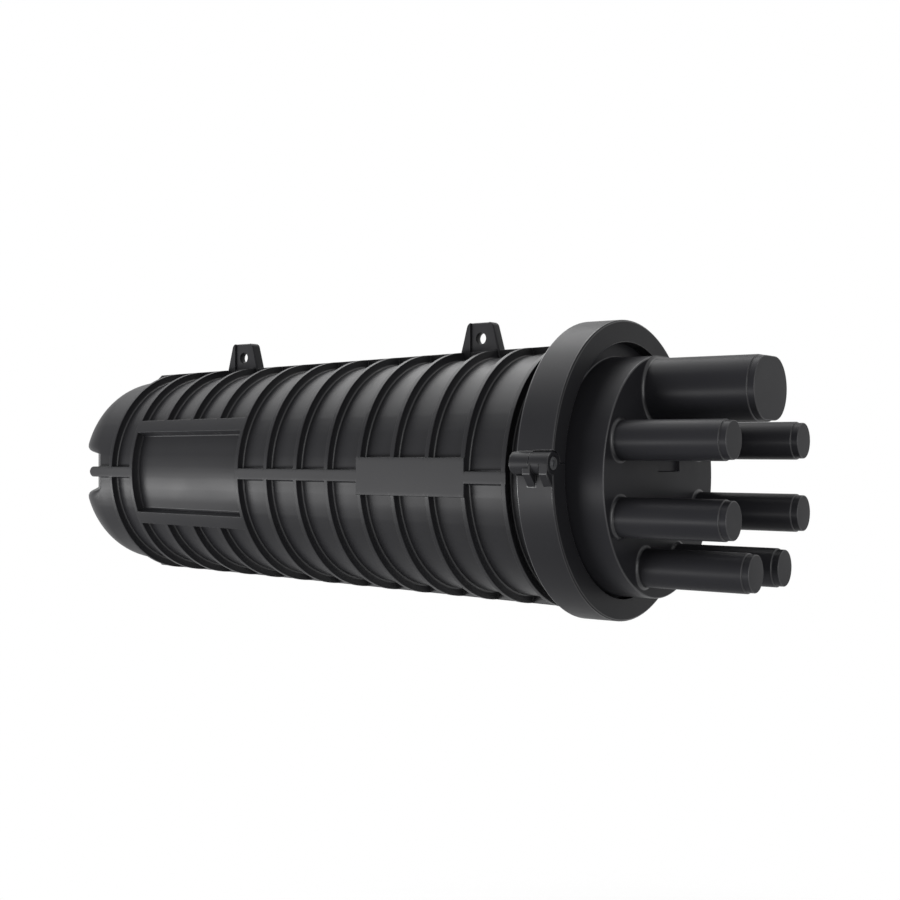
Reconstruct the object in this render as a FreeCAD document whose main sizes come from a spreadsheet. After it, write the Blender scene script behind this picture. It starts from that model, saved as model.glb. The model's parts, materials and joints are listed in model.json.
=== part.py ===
import FreeCAD, Part
import math
import os
import re

import Sketcher

# Fibre splice closure: a ribbed dome and a port base held face to face by a hinged clamp ring.
# Lengths are millimetres. While a piece is drawn, X runs along the closure's axis towards the ports,
# Z points up to the hanging lugs, and x = 0 is the joint plane. Each finished piece is then placed so
# that the origin lies in the middle of the front lug's bore.

SIZES = {
    # dome: its radius between the ribs at the joint plane, and what it loses up to the closed end
    "mouth_radius": 88.5,
    "dome_taper": 10.1,
    "dome_length": 492,
    "dome_wall": 3.5,
    "shoulder_radius": 40,
    # ring ribs, counted from the joint plane
    "rib_width": 4,
    "rib_height": 6,
    "front_rib": 28.2,
    "front_rib_gap": 33.5,
    "rear_rib_gap": 25.7,
    "rear_margin": 67.45,
    # four long ribs; those at the sides cross notches at the closed end, the others end on its shoulder
    "long_rib_width": 8.4,
    "long_rib_bend": 39,
    "side_rib_inset": 27.9,
    "spine_slope": 14,
    "notch_length": 45.4,
    "notch_height": 40,
    "notch_inset": 36.7,
    # raised label frame and flat label pad on the near side
    "frame_arc": 59.5,
    "recess_arc": 44.4,
    "recess_depth": 1,
    "pad_height": 27.5,
    # hanging lugs on top
    "lug_front": 108.3,
    "lug_spacing": 244.3,
    "lug_base": 38.4,
    "lug_top": 22,
    "lug_height": 21.7,
    "lug_thickness": 13,
    "lug_web": 6,
    "lug_web_width": 18.4,
    "lug_corner": 1.6,
    "lug_bore_rise": 9.8,
    "lug_bore_radius": 4,
    # mating flanges and the clamp ring, whose axis lies above the dome's axis
    "ring_rise": 4.3,
    "flange_reach": 9.7,
    "flange_thickness": 6,
    "flange_play": 0.4,
    "rim_play": 0.8,
    "ring_band": 6,
    "ring_width": 29,
    "ring_rear_chamfer": 2,
    "ring_front_chamfer": 1,
    "front_lip_play": 1.9,
    "rear_lip_play": 0.8,
    "split_gap": 0.6,
    # seal
    "seal_rim": 2.7,
    "seal_width": 4,
    "seal_depth": 3,
    "seal_play": 0.1,
    # hinge on the near side
    "hinge_inset": 1,
    "hinge_height": 6,
    "barrel_radius": 7.5,
    "barrel_play": 0.6,
    "clamp_opening": 40,
    "knuckle_gap": 0.4,
    "gusset_start": 4.5,
    "gusset_face": 7,
    "gusset_drop": 18.3,
    "gusset_width": 6,
    "gusset_gap": 6.5,
    "bolt_radius": 2.5,
    "bolt_head_radius": 4.25,
    "bolt_head_height": 5,
    "bolt_socket": 4,
    "bolt_socket_depth": 3,
    "bolt_play": 0.05,
    "bolt_end": 1,
    "nut_width": 8,
    "nut_height": 4,
    "nut_play": 0.1,
    # latch on the far side
    "pivot_proud": 6.3,
    "pivot_height": 30,
    "pivot_radius": 2,
    "pivot_play": 0.05,
    "ear_radius": 5,
    "ear_thickness": 5,
    "ear_play": 0.5,
    "ear_root": 14,
    "latch_width": 13,
    "latch_arm": 4,
    "latch_tail": 58,
    "latch_flare": 3.5,
    "catch_play": 0.7,
    "catch_depth": 9.5,
    "catch_height": 6.5,
    "catch_angle": 47,
    "hook_gap": 0.3,
    "hook_bite": 3.4,
    "hook_height": 2,
    # port base
    "hub_inset": 5.2,
    "hub_length": 39.1,
    "hub_edge": 1.5,
    "hub_wall": 5.3,
    "base_wall": 6,
    "tube_length": 78.5,
    "tube_radius": 13.2,
    "tube_wall": 2.5,
    "tube_root": 1.5,
    "tube_inset": 17.9,
    "tube_angle": 45,
    "cap_length": 4.8,
    "cap_step": 0.8,
    "oval_inset": 24.1,
    "oval_radius": 22,
    "oval_half_span": 7.3,
    "window_left": 5,
    "window_width": 33,
    "window_bottom": 3.6,
    "window_height": 22,
    "window_depth": 1,
    # tray bracket and its screws
    "bracket_thickness": 3,
    "bracket_width": 70,
    "bracket_height": 40,
    "shelf_drop": 8,
    "shelf_end": 372,
    "screw_row": 28,
    "screw_low": 10,
    "screw_high": 30,
    "screw_radius": 2,
    "screw_bite": 4,
    "screw_head_radius": 3.5,
    "screw_head_height": 2.5,
    "screw_play": 0.1,
    # splice trays, their hinge and what they hold
    "tray_front": 62,
    "tray_length": 300,
    "tray_width": 110,
    "tray_height": 9,
    "tray_wall": 1.5,
    "tray_gap": 0.3,
    "tongue_width": 60,
    "tongue_thickness": 5,
    "tongue_nose": 4,
    "hinge_setback": 12,
    "cheek_length": 16,
    "cheek_thickness": 4,
    "cheek_play": 0.3,
    "pin_radius": 1.5,
    "pin_play": 0.05,
    "holder_length": 60,
    "holder_width": 36,
    "holder_height": 6,
    "sleeve_slot": 3,
    "sleeve_depth": 4,
    "cover_thickness": 2,
    "basket_depth": 30,
    "basket_wall": 2,
    "strap_width": 20,
    "strap_thickness": 1.5,
    "strap_play": 0.2,
    # clamps for the cables' strength members
    "grip_depth": 8,
    "grip_width": 12,
    "grip_height": 16,
    "grip_offset": 14,
    "grip_screw_radius": 1.6,
    "grip_head_radius": 3,
    "grip_head_height": 2.4,
}

RIB_COUNT = 14
FRAME_RIBS = (8, 12)
PAD_RIBS = (1, 4)
TUBE_STEPS = (0.5, -0.5, -1.5)
TRAY_COUNT = 4
SLEEVE_COUNT = 6
SIDES = (-1, 1)
HEX_ANGLES = range(0, 360, 60)
OVERLAP = 1
TOLERANCE = 1e-6

doc = FreeCAD.newDocument("SpliceClosure")
sheet = doc.addObject("Spreadsheet::Sheet", "Sizes")
nodes = []


def formula(text):
    """Point every size named in the text at its cell in the sheet."""
    return re.sub(r"[a-z_]+", lambda word: "Sizes." + word[0] if word[0] in SIZES else word[0], text)


def value(text):
    """Work out a formula's present number."""
    return float(sheet.evalExpression(formula(text)))


def bind(item, prop, text):
    item.setExpression(prop, formula(text))


def fill_sheet():
    for row, (name, number) in enumerate(SIZES.items(), start=1):
        sheet.set("A%d" % row, name)
        sheet.set("B%d" % row, str(number))
        sheet.setAlias("B%d" % row, name)
    doc.recompute()


# Places that several pieces share, as formulas; distances of the dome are counted back from the joint

def base_radius(distance):
    return "(mouth_radius - (%s) * dome_taper / dome_length)" % distance


def crest_radius(distance):
    return "(%s + rib_height)" % base_radius(distance)


RIB_PITCH = ("((dome_length - rear_margin - rear_rib_gap - front_rib - front_rib_gap) / %d)"
             % (RIB_COUNT - 3))


def rib_front(index):
    """Distance of a rib's front wall; the first and the last rib are spaced on their own."""
    if index == 0:
        return "(front_rib)"
    if index == RIB_COUNT - 1:
        return "(dome_length - rear_margin)"
    return "(front_rib + front_rib_gap + %d * %s)" % (index - 1, RIB_PITCH)


def rib_rear(index):
    return "(%s + rib_width)" % rib_front(index)


def tube_centres():
    """Centres of the round ports: evenly spread on one circle, the oval taking the top two places."""
    for side in SIDES:
        for step in TUBE_STEPS:
            angle = "(%g * tube_angle)" % step
            yield "(%d * %s * cos(%s))" % (side, TUBE_CIRCLE, angle), "(%s * sin(%s))" % (TUBE_CIRCLE, angle)


CLOSED_RADIUS = "(mouth_radius - dome_taper)"
END_RADIUS = "(%s - shoulder_radius)" % CLOSED_RADIUS
RIB_BEND = "(dome_length - long_rib_bend)"
LUG_BORE_HEIGHT = "(%s + lug_bore_rise)" % crest_radius("lug_front")
RING_HALF = "(ring_width / 2)"
GROOVE_HALF = "(flange_thickness + flange_play)"
FLANGE_RADIUS = "(mouth_radius + flange_reach)"
SEAL_RADIUS = "(%s - seal_rim - seal_width)" % FLANGE_RADIUS
HUB_RADIUS = "(mouth_radius - hub_inset)"
TUBE_CIRCLE = "(%s - tube_inset)" % HUB_RADIUS
OVAL_HEIGHT = "(%s - oval_inset)" % HUB_RADIUS
GROOVE_RADIUS = "(%s + rim_play)" % FLANGE_RADIUS
RING_RADIUS = "(%s + ring_band)" % GROOVE_RADIUS
FRONT_LIP = "(%s + ring_rise + front_lip_play)" % HUB_RADIUS
REAR_LIP = "(mouth_radius + ring_rise + rear_lip_play)"
HINGE_REACH = "(%s - hinge_inset)" % RING_RADIUS
HINGE_Y = "(-%s)" % HINGE_REACH
PIVOT_REACH = "(%s + pivot_proud)" % RING_RADIUS
LEVER_INNER = "(%s - latch_arm / 2)" % PIVOT_REACH
CATCH_REACH = "(%s - catch_play)" % LEVER_INNER
HOOK_REACH = "(%s - hook_bite)" % CATCH_REACH
BOLT_BORE = "(bolt_radius + bolt_play)"
PIVOT_BORE = "(pivot_radius + pivot_play)"
EAR_INNER = "(latch_width / 2 + ear_play)"
BACK_WALL = "(hub_length - base_wall)"
PLATE_BACK = "(%s - bracket_thickness)" % BACK_WALL
SHELF_TOP = "(bracket_thickness - shelf_drop)"
PIN_X = "(hinge_setback - tray_front)"
TRAY_MIDDLE = "(tray_front + tray_length / 2)"
BASKET_BOTTOM = "(-shelf_drop - basket_depth)"


def tray_floor(index):
    return "(%s + %d * (tray_height + tray_gap))" % (SHELF_TOP, index)


STACK_TOP = "(%s + tray_height)" % tray_floor(TRAY_COUNT - 1)


# Drawing on a body's own planes

def new_body(name):
    body = doc.addObject("PartDesign::Body", name)
    body.Label = name
    return body


def new_sketch(body, role, name, offset=None):
    sketch = body.newObject("Sketcher::SketchObject", name)
    plane = next(item for item in body.Origin.OriginFeatures if item.Role == role)
    sketch.AttachmentSupport = (plane, [""])
    sketch.MapMode = "FlatFace"
    if offset:
        bind(sketch, "AttachmentOffset.Base.z", offset)
    return sketch


def dimension(sketch, constraint, text):
    index = sketch.addConstraint(constraint)
    sketch.setExpression("Constraints[%d]" % index, formula(text))


def pin_point(sketch, edge, point, across, up):
    """Hold a point of the sketch at two formulas; a plain 0 puts it on the axis instead."""
    for kind, text, axis in (("DistanceX", across, -2), ("DistanceY", up, -1)):
        if text == "0":
            sketch.addConstraint(Sketcher.Constraint("PointOnObject", edge, point, axis))
        else:
            dimension(sketch, Sketcher.Constraint(kind, -1, 1, edge, point, value(text)), text)


def draw_outline(sketch, corners):
    first = sketch.GeometryCount
    count = len(corners)
    points = [FreeCAD.Vector(value(across), value(up), 0) for across, up in corners]
    for i in range(count):
        sketch.addGeometry(Part.LineSegment(points[i], points[(i + 1) % count]))
    for i in range(count):
        after = first + (i + 1) % count
        sketch.addConstraint(Sketcher.Constraint("Coincident", first + i, 2, after, 1))
    for i, (across, up) in enumerate(corners):
        pin_point(sketch, first + i, 1, across, up)


def draw_circle(sketch, across, up, radius):
    centre = FreeCAD.Vector(value(across), value(up), 0)
    circle = sketch.addGeometry(Part.Circle(centre, FreeCAD.Vector(0, 0, 1), value(radius)))
    pin_point(sketch, circle, 3, across, up)
    dimension(sketch, Sketcher.Constraint("Radius", circle, value(radius)), radius)


def draw_slot(sketch, up, half_span, radius):
    """A level slot with round ends, centred across the sketch."""
    high, half, size = value(up), value(half_span), value(radius)
    normal = FreeCAD.Vector(0, 0, 1)
    left_circle = Part.Circle(FreeCAD.Vector(-half, high, 0), normal, size)
    right_circle = Part.Circle(FreeCAD.Vector(half, high, 0), normal, size)
    left = sketch.addGeometry(Part.ArcOfCircle(left_circle, math.pi / 2, 3 * math.pi / 2))
    right = sketch.addGeometry(Part.ArcOfCircle(right_circle, -math.pi / 2, math.pi / 2))
    lines = []
    for side in (1, -1):
        start = FreeCAD.Vector(-half, high + side * size, 0)
        lines.append(sketch.addGeometry(Part.LineSegment(start, start + FreeCAD.Vector(2 * half, 0, 0))))
    top, bottom = lines
    for line, end, arc, arc_end in ((top, 1, left, 1), (top, 2, right, 2),
                                    (bottom, 1, left, 2), (bottom, 2, right, 1)):
        sketch.addConstraint(Sketcher.Constraint("Tangent", line, end, arc, arc_end))
    sketch.addConstraint(Sketcher.Constraint("Equal", left, right))
    pin_point(sketch, left, 3, "(-%s)" % half_span, up)
    pin_point(sketch, right, 3, half_span, up)
    dimension(sketch, Sketcher.Constraint("Radius", left, size), radius)


def add_feature(body, kind, sketch, name):
    """Add a feature that is made from a sketch."""
    feature = body.newObject("PartDesign::" + kind, name)
    feature.Profile = sketch
    return feature


def require_less(body, before, name):
    """Stop if a cut has left as much material as there was before."""
    doc.recompute()
    if body.Shape.Volume > before - TOLERANCE:
        raise RuntimeError("%s cuts nothing" % name)


def pad(body, sketch, length, name, symmetric=False, reverse=False):
    feature = add_feature(body, "Pad", sketch, name)
    bind(feature, "Length", length)
    feature.SideType = "Symmetric" if symmetric else "One side"
    feature.Reversed = reverse


def pocket(body, sketch, length, name, symmetric=False, forward=False):
    doc.recompute()
    before = body.Shape.Volume
    feature = add_feature(body, "Pocket", sketch, name)
    bind(feature, "Length", length)
    feature.SideType = "Symmetric" if symmetric else "One side"
    feature.Reversed = forward
    require_less(body, before, name)


def revolve(body, sketch, name, arc=None):
    """Turn a sketch about the X axis, all round or over an arc centred on the sketch."""
    feature = add_feature(body, "Revolution", sketch, name)
    feature.ReferenceAxis = (sketch, ["H_Axis"])
    if arc:
        bind(feature, "Angle", arc)
        feature.Midplane = True


def groove(body, sketch, name, arc=None):
    doc.recompute()
    before = body.Shape.Volume
    feature = add_feature(body, "Groove", sketch, name)
    feature.ReferenceAxis = (sketch, ["H_Axis"])
    if arc:
        bind(feature, "Angle", arc)
        feature.Midplane = True
    require_less(body, before, name)


def round_edges(body, kind, prop, size, name, wanted):
    """Fillet or chamfer the edges of the body's present shape that the test picks."""
    doc.recompute()
    tip = body.Tip
    picked = ["Edge%d" % (i + 1) for i, edge in enumerate(tip.Shape.Edges) if wanted(edge)]
    if not picked:
        raise RuntimeError("%s finds no edge" % name)
    feature = body.newObject("PartDesign::" + kind, name)
    feature.Base = (tip, picked)
    bind(feature, prop, size)


def near(number, text):
    return abs(number - value(text)) < 1e-3


def is_circle(edge, x_text, radius_text):
    """Tell whether an edge is a circle about an X axis, at this x and with this radius."""
    curve = edge.Curve
    if not isinstance(curve, Part.Circle):
        return False
    return near(curve.Center.x, x_text) and near(curve.Radius, radius_text)


def keep(item, name, rise="0"):
    """Name a finished piece and move it from the drawing frame to the front lug's bore."""
    item.Label = name
    bind(item, "Placement.Base.x", "lug_front")
    bind(item, "Placement.Base.z", "%s - %s" % (rise, LUG_BORE_HEIGHT))
    nodes.append(item)


# Plain solids for the pieces inside

def box(name, low, size):
    item = doc.addObject("Part::Box", name)
    for axis, prop, start, length in zip("xyz", ("Length", "Width", "Height"), low, size):
        bind(item, "Placement.Base." + axis, start)
        bind(item, prop, length)
    return item


def rod(name, direction, start, radius, length):
    item = doc.addObject("Part::Cylinder", name)
    item.Placement.Rotation = FreeCAD.Rotation(FreeCAD.Vector(0, 0, 1), FreeCAD.Vector(*direction))
    for axis, text in zip("xyz", start):
        bind(item, "Placement.Base." + axis, text)
    bind(item, "Radius", radius)
    bind(item, "Height", length)
    return item


ALONG_X = (1, 0, 0)
ALONG_Y = (0, 1, 0)


def joined(name, items):
    item = doc.addObject("Part::MultiFuse", name)
    item.Shapes = items
    return item


def less(name, base, tools):
    item = doc.addObject("Part::Cut", name)
    item.Base = base
    item.Tool = tools[0] if len(tools) == 1 else joined(name + "_tools", tools)
    return item


def group(name, items):
    item = doc.addObject("Part::Compound", name)
    item.Links = items
    return item


# Dome

def add_dome_shell(body):
    section = new_sketch(body, "XY_Plane", "dome_section")
    draw_outline(section, [("0", "0"), ("0", "mouth_radius"),
                           ("-dome_length", CLOSED_RADIUS), ("-dome_length", "0")])
    revolve(body, section, "dome_turned")
    round_edges(body, "Fillet", "Radius", "shoulder_radius", "dome_shoulder",
                lambda edge: is_circle(edge, "-dome_length", CLOSED_RADIUS))
    flange = new_sketch(body, "YZ_Plane", "flange_outline")
    draw_circle(flange, "0", "ring_rise", FLANGE_RADIUS)
    pad(body, flange, "flange_thickness", "dome_flange", reverse=True)


def add_notches(body):
    """Cut the two sloping flats that the side ribs cross at the closed end."""
    sketch = new_sketch(body, "XY_Plane", "notch_outline")
    start = "(dome_length - notch_length)"
    beyond = "(dome_length + %d)" % OVERLAP
    reach = "(%s - notch_inset)" % CLOSED_RADIUS
    for side in SIDES:
        draw_outline(sketch, [("-%s" % start, "%d * %s" % (side, base_radius(start))),
                              ("-dome_length", "%d * %s" % (side, reach)),
                              ("-%s" % beyond, "%d * %s" % (side, reach)),
                              ("-%s" % beyond, "%d * mouth_radius" % side),
                              ("-%s" % start, "%d * mouth_radius" % side)])
    pocket(body, sketch, "notch_height", "end_notches", symmetric=True)


def add_side_ribs(body):
    """Ribs along both sides, which slope down past the shoulder and end in a round nose."""
    sketch = new_sketch(body, "XY_Plane", "side_rib_outline")
    nose = "(dome_length - long_rib_width / 2)"
    reach = "(%s - side_rib_inset)" % CLOSED_RADIUS
    for side in SIDES:
        draw_outline(sketch, [("-front_rib", "%d * %s" % (side, crest_radius("front_rib"))),
                              ("-" + RIB_BEND, "%d * %s" % (side, crest_radius(RIB_BEND))),
                              ("-" + nose, "%d * %s" % (side, reach)),
                              ("-" + nose, "%d * %s" % (side, END_RADIUS)),
                              ("-" + RIB_BEND, "%d * %s" % (side, END_RADIUS)),
                              ("-front_rib", "%d * (mouth_radius - rib_height)" % side)])
    pad(body, sketch, "long_rib_width", "side_ribs", symmetric=True)
    round_end = new_sketch(body, "XZ_Plane", "side_rib_nose_outline")
    draw_circle(round_end, "-" + nose, "0", "(long_rib_width / 2)")
    pad(body, round_end, "(2 * %s)" % reach, "side_rib_noses", symmetric=True)


def add_spine_ribs(body):
    """Ribs along the top and the bottom, which slope down onto the shoulder."""
    sketch = new_sketch(body, "XZ_Plane", "spine_rib_outline")
    tail = "(dome_length - long_rib_bend + spine_slope)"
    for side in SIDES:
        draw_outline(sketch, [("-front_rib", "%d * %s" % (side, crest_radius("front_rib"))),
                              ("-" + RIB_BEND, "%d * %s" % (side, crest_radius(RIB_BEND))),
                              ("-" + tail, "%d * (%s - dome_wall)" % (side, base_radius(tail))),
                              ("-front_rib", "%d * (%s - dome_wall)" % (side, base_radius("front_rib")))])
    pad(body, sketch, "long_rib_width", "spine_ribs", symmetric=True)


def add_ring_ribs(body):
    sketch = new_sketch(body, "XY_Plane", "rib_sections")
    for index in range(RIB_COUNT):
        front, rear = rib_front(index), rib_rear(index)
        foot = "(%s - %d)" % (base_radius(rear), OVERLAP)
        draw_outline(sketch, [("-" + front, crest_radius(front)), ("-" + rear, crest_radius(rear)),
                              ("-" + rear, foot), ("-" + front, foot)])
    revolve(body, sketch, "ring_ribs")


def add_label_frame(body):
    """Raise a block between two ribs and sink its middle, leaving a border as high as the ribs."""
    first, last = FRAME_RIBS
    block = new_sketch(body, "XY_Plane", "frame_section")
    front, rear = rib_front(first), rib_rear(last)
    foot = "-(%s - %d)" % (base_radius(rear), OVERLAP)
    draw_outline(block, [("-" + front, "-" + crest_radius(front)), ("-" + rear, "-" + crest_radius(rear)),
                         ("-" + rear, foot), ("-" + front, foot)])
    revolve(body, block, "label_frame", arc="frame_arc")
    recess = new_sketch(body, "XY_Plane", "recess_section")
    front, rear = rib_rear(first), rib_front(last)
    beyond = "-(%s + %d)" % (crest_radius(front), OVERLAP)
    draw_outline(recess, [("-" + front, beyond), ("-" + rear, beyond),
                          ("-" + rear, "-(%s - recess_depth)" % base_radius(rear)),
                          ("-" + front, "-(%s - recess_depth)" % base_radius(front))])
    groove(body, recess, "label_recess", arc="recess_arc")


def add_label_pad(body):
    first, last = PAD_RIBS
    front, rear = rib_front(first), rib_rear(last)
    foot = "-(%s - dome_wall)" % base_radius(rear)
    sketch = new_sketch(body, "XY_Plane", "pad_outline")
    draw_outline(sketch, [("-" + front, "-" + crest_radius(front)), ("-" + rear, "-" + crest_radius(rear)),
                          ("-" + rear, foot), ("-" + front, foot)])
    pad(body, sketch, "pad_height", "label_pad", symmetric=True)


def add_lugs(body):
    """Hanging lugs: a thin bored web between two thicker posts, tapering upwards."""
    for name, distance in (("front", "lug_front"), ("rear", "(lug_front + lug_spacing)")):
        foot = "(%s - dome_wall)" % base_radius(distance)
        top = "(%s + lug_height)" % crest_radius(distance)
        low_left, low_right = ("(-%s %s lug_base / 2)" % (distance, sign) for sign in "-+")
        top_left, top_right = ("(-%s %s lug_top / 2)" % (distance, sign) for sign in "-+")
        web_left, web_right = ("(-%s %s lug_web_width / 2)" % (distance, sign) for sign in "-+")
        web = new_sketch(body, "XZ_Plane", name + "_lug_web_outline")
        draw_outline(web, [(low_left, foot), (low_right, foot), (top_right, top), (top_left, top)])
        pad(body, web, "lug_web", name + "_lug_web", symmetric=True)
        posts = new_sketch(body, "XZ_Plane", name + "_lug_post_outlines")
        draw_outline(posts, [(low_left, foot), (web_left, foot), (web_left, top), (top_left, top)])
        draw_outline(posts, [(web_right, foot), (low_right, foot), (top_right, top), (web_right, top)])
        pad(body, posts, "lug_thickness", name + "_lug_posts", symmetric=True)
        round_edges(body, "Fillet", "Radius", "lug_corner", name + "_lug_corners",
                    lambda edge: is_lug_corner(edge, (top_left, top_right), top))
        bore = new_sketch(body, "XZ_Plane", name + "_lug_bore_outline")
        draw_circle(bore, "-" + distance, "(%s + lug_bore_rise)" % crest_radius(distance), "lug_bore_radius")
        pocket(body, bore, "lug_thickness", name + "_lug_bore", symmetric=True)


def is_lug_corner(edge, ends, top):
    middle = edge.CenterOfMass
    level = max(edge.BoundBox.ZLength, edge.BoundBox.XLength) < TOLERANCE
    return level and near(middle.z, top) and any(near(middle.x, end) for end in ends)


def add_dome_cavity(body):
    """Hollow the dome; the cone at the closed end keeps a wall under the notches."""
    cone = "(dome_length - notch_length - dome_wall)"
    end = "(dome_length - dome_wall)"
    section = new_sketch(body, "XY_Plane", "cavity_section")
    draw_outline(section, [("0", "0"), ("0", "(mouth_radius - dome_wall)"),
                           ("-" + cone, "(%s - dome_wall)" % base_radius(cone)),
                           ("-" + end, END_RADIUS), ("-" + end, "0")])
    groove(body, section, "dome_cavity")


def make_dome_cover():
    body = new_body("dome_cover")
    add_dome_shell(body)
    add_notches(body)
    add_side_ribs(body)
    add_spine_ribs(body)
    add_ring_ribs(body)
    add_label_frame(body)
    add_label_pad(body)
    add_lugs(body)
    add_dome_cavity(body)
    keep(body, "dome_cover")


# Port base and seal

def add_ports(body):
    """Six round tubes and one oval, each closed by a slightly narrower cap, and hollow behind it."""
    barrel = "(tube_length - cap_length)"
    bore_length = "(base_wall + tube_length - tube_wall)"
    for name, offset, step, length, cutting in (
            ("barrels", "hub_length", "0", barrel, False),
            ("caps", "hub_length", "cap_step", "tube_length", False),
            ("bores", BACK_WALL, "tube_wall", bore_length, True)):
        sketch = new_sketch(body, "YZ_Plane", name + "_outline", offset)
        for across, up in tube_centres():
            draw_circle(sketch, across, up, "(tube_radius - %s)" % step)
        draw_slot(sketch, OVAL_HEIGHT, "oval_half_span", "(oval_radius - %s)" % step)
        if cutting:
            pocket(body, sketch, length, "port_" + name, forward=True)
        else:
            pad(body, sketch, length, "port_" + name)


def is_port_root(edge):
    box_of = edge.BoundBox
    flat = near(box_of.XMin, "hub_length") and near(box_of.XMax, "hub_length")
    if not flat or not isinstance(edge.Curve, Part.Circle):
        return False
    return near(edge.Curve.Radius, "tube_radius")


def make_port_base():
    body = new_body("port_base")
    section = new_sketch(body, "XY_Plane", "hub_section")
    draw_outline(section, [("0", "0"), ("0", HUB_RADIUS), ("hub_length", HUB_RADIUS), ("hub_length", "0")])
    revolve(body, section, "hub_turned")
    round_edges(body, "Fillet", "Radius", "hub_edge", "hub_rim",
                lambda edge: is_circle(edge, "hub_length", HUB_RADIUS))
    flange = new_sketch(body, "YZ_Plane", "base_flange_outline")
    draw_circle(flange, "0", "ring_rise", FLANGE_RADIUS)
    pad(body, flange, "flange_thickness", "base_flange")
    cavity = new_sketch(body, "XY_Plane", "hub_cavity_section")
    inside = "(%s - hub_wall)" % HUB_RADIUS
    draw_outline(cavity, [("0", "0"), ("0", inside), (BACK_WALL, inside), (BACK_WALL, "0")])
    groove(body, cavity, "hub_cavity")
    add_ports(body)
    round_edges(body, "Chamfer", "Size", "tube_root", "port_roots", is_port_root)
    window = new_sketch(body, "YZ_Plane", "window_outline", "hub_length")
    right = "(window_width - window_left)"
    top = "(window_bottom + window_height)"
    draw_outline(window, [("-window_left", "window_bottom"), (right, "window_bottom"),
                          (right, top), ("-window_left", top)])
    pocket(body, window, "window_depth", "face_window")
    seat = new_sketch(body, "YZ_Plane", "seal_seat_outline")
    draw_circle(seat, "0", "ring_rise", "(%s - seal_play)" % SEAL_RADIUS)
    draw_circle(seat, "0", "ring_rise", "(%s + seal_width + seal_play)" % SEAL_RADIUS)
    pocket(body, seat, "seal_depth", "seal_seat", forward=True)
    holes = new_sketch(body, "YZ_Plane", "screw_hole_outlines", BACK_WALL)
    for across, up in screw_places():
        draw_circle(holes, across, up, "(screw_radius + screw_play)")
    pocket(body, holes, "(screw_bite + screw_play)", "screw_holes", forward=True)
    keep(body, "port_base")


def make_sealing_gasket():
    body = new_body("sealing_gasket")
    outer = "(%s + seal_width)" % SEAL_RADIUS
    section = new_sketch(body, "XY_Plane", "seal_section")
    draw_outline(section, [("0", SEAL_RADIUS), ("0", outer),
                           ("(seal_depth - seal_play)", outer), ("(seal_depth - seal_play)", SEAL_RADIUS)])
    revolve(body, section, "seal_ring")
    keep(body, "sealing_gasket", "ring_rise")


# Clamp ring, drawn about its own axis

def add_ring(body):
    """Turn the channel section that grips both flanges."""
    section = new_sketch(body, "XY_Plane", "ring_section")
    half, slot = RING_HALF, GROOVE_HALF
    draw_outline(section, [("-" + half, REAR_LIP),
                           ("-" + half, "(%s - ring_rear_chamfer)" % RING_RADIUS),
                           ("(ring_rear_chamfer - %s)" % half, RING_RADIUS),
                           ("(%s - ring_front_chamfer)" % half, RING_RADIUS),
                           (half, "(%s - ring_front_chamfer)" % RING_RADIUS),
                           (half, FRONT_LIP), (slot, FRONT_LIP),
                           (slot, GROOVE_RADIUS), ("-" + slot, GROOVE_RADIUS),
                           ("-" + slot, REAR_LIP)])
    revolve(body, section, "ring_turned")


def cut_half(body, upper):
    """Take away the ring on the other side of the split, which passes through the hinge axis."""
    reach = "(%s + ring_band)" % RING_RADIUS
    sign = 1 if upper else -1
    split = "(hinge_height + %d * split_gap / 2)" % sign
    sketch = new_sketch(body, "YZ_Plane", "split_outline")
    draw_outline(sketch, [("-" + reach, split), (reach, split),
                          (reach, "(%d * %s)" % (-sign, reach)), ("-" + reach, "(%d * %s)" % (-sign, reach))])
    pocket(body, sketch, "(2 * ring_width)", "split_cut", symmetric=True)


def add_knuckle(body, front):
    """Add this half's hinge knuckle, and clear room round the barrel for the other half's."""
    start = "(knuckle_gap / 2)"
    length = "(%s - knuckle_gap / 2)" % RING_HALF
    inner_end = start if front else "-" + start
    room = new_sketch(body, "YZ_Plane", "knuckle_room_outline", inner_end)
    draw_circle(room, HINGE_Y, "hinge_height", "(barrel_radius + barrel_play)")
    pocket(body, room, "ring_width", "knuckle_room", forward=not front)
    barrel = new_sketch(body, "YZ_Plane", "knuckle_outline", inner_end)
    draw_circle(barrel, HINGE_Y, "hinge_height", "barrel_radius")
    pad(body, barrel, length, "knuckle", reverse=not front)


def trim_knuckle(body):
    """Open the channel and the bolt bore through the knuckle."""
    add_channel(body, "closed", "0", "0")
    bore = new_sketch(body, "YZ_Plane", "bolt_bore_outline")
    draw_circle(bore, HINGE_Y, "hinge_height", BOLT_BORE)
    pocket(body, bore, "(2 * ring_width)", "bolt_bore", symmetric=True)


def add_channel(body, name, across, up):
    """Clear the flanges' space, about wherever their axis lies as seen from this half."""
    channel = new_sketch(body, "YZ_Plane", name + "_channel_outline")
    draw_circle(channel, across, up, GROOVE_RADIUS)
    pocket(body, channel, "(2 * %s)" % GROOVE_HALF, name + "_channel", symmetric=True)


def add_open_channel(body):
    """Clear the knuckle for the flanges when the half has swung fully open."""
    turn = "cos(clamp_opening)", "sin(clamp_opening)"
    across = "(%s * (%s - 1) + hinge_height * %s)" % (HINGE_REACH, *turn)
    up = "(hinge_height * (1 - %s) + %s * %s)" % (turn[0], HINGE_REACH, turn[1])
    add_channel(body, "open", across, up)


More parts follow.
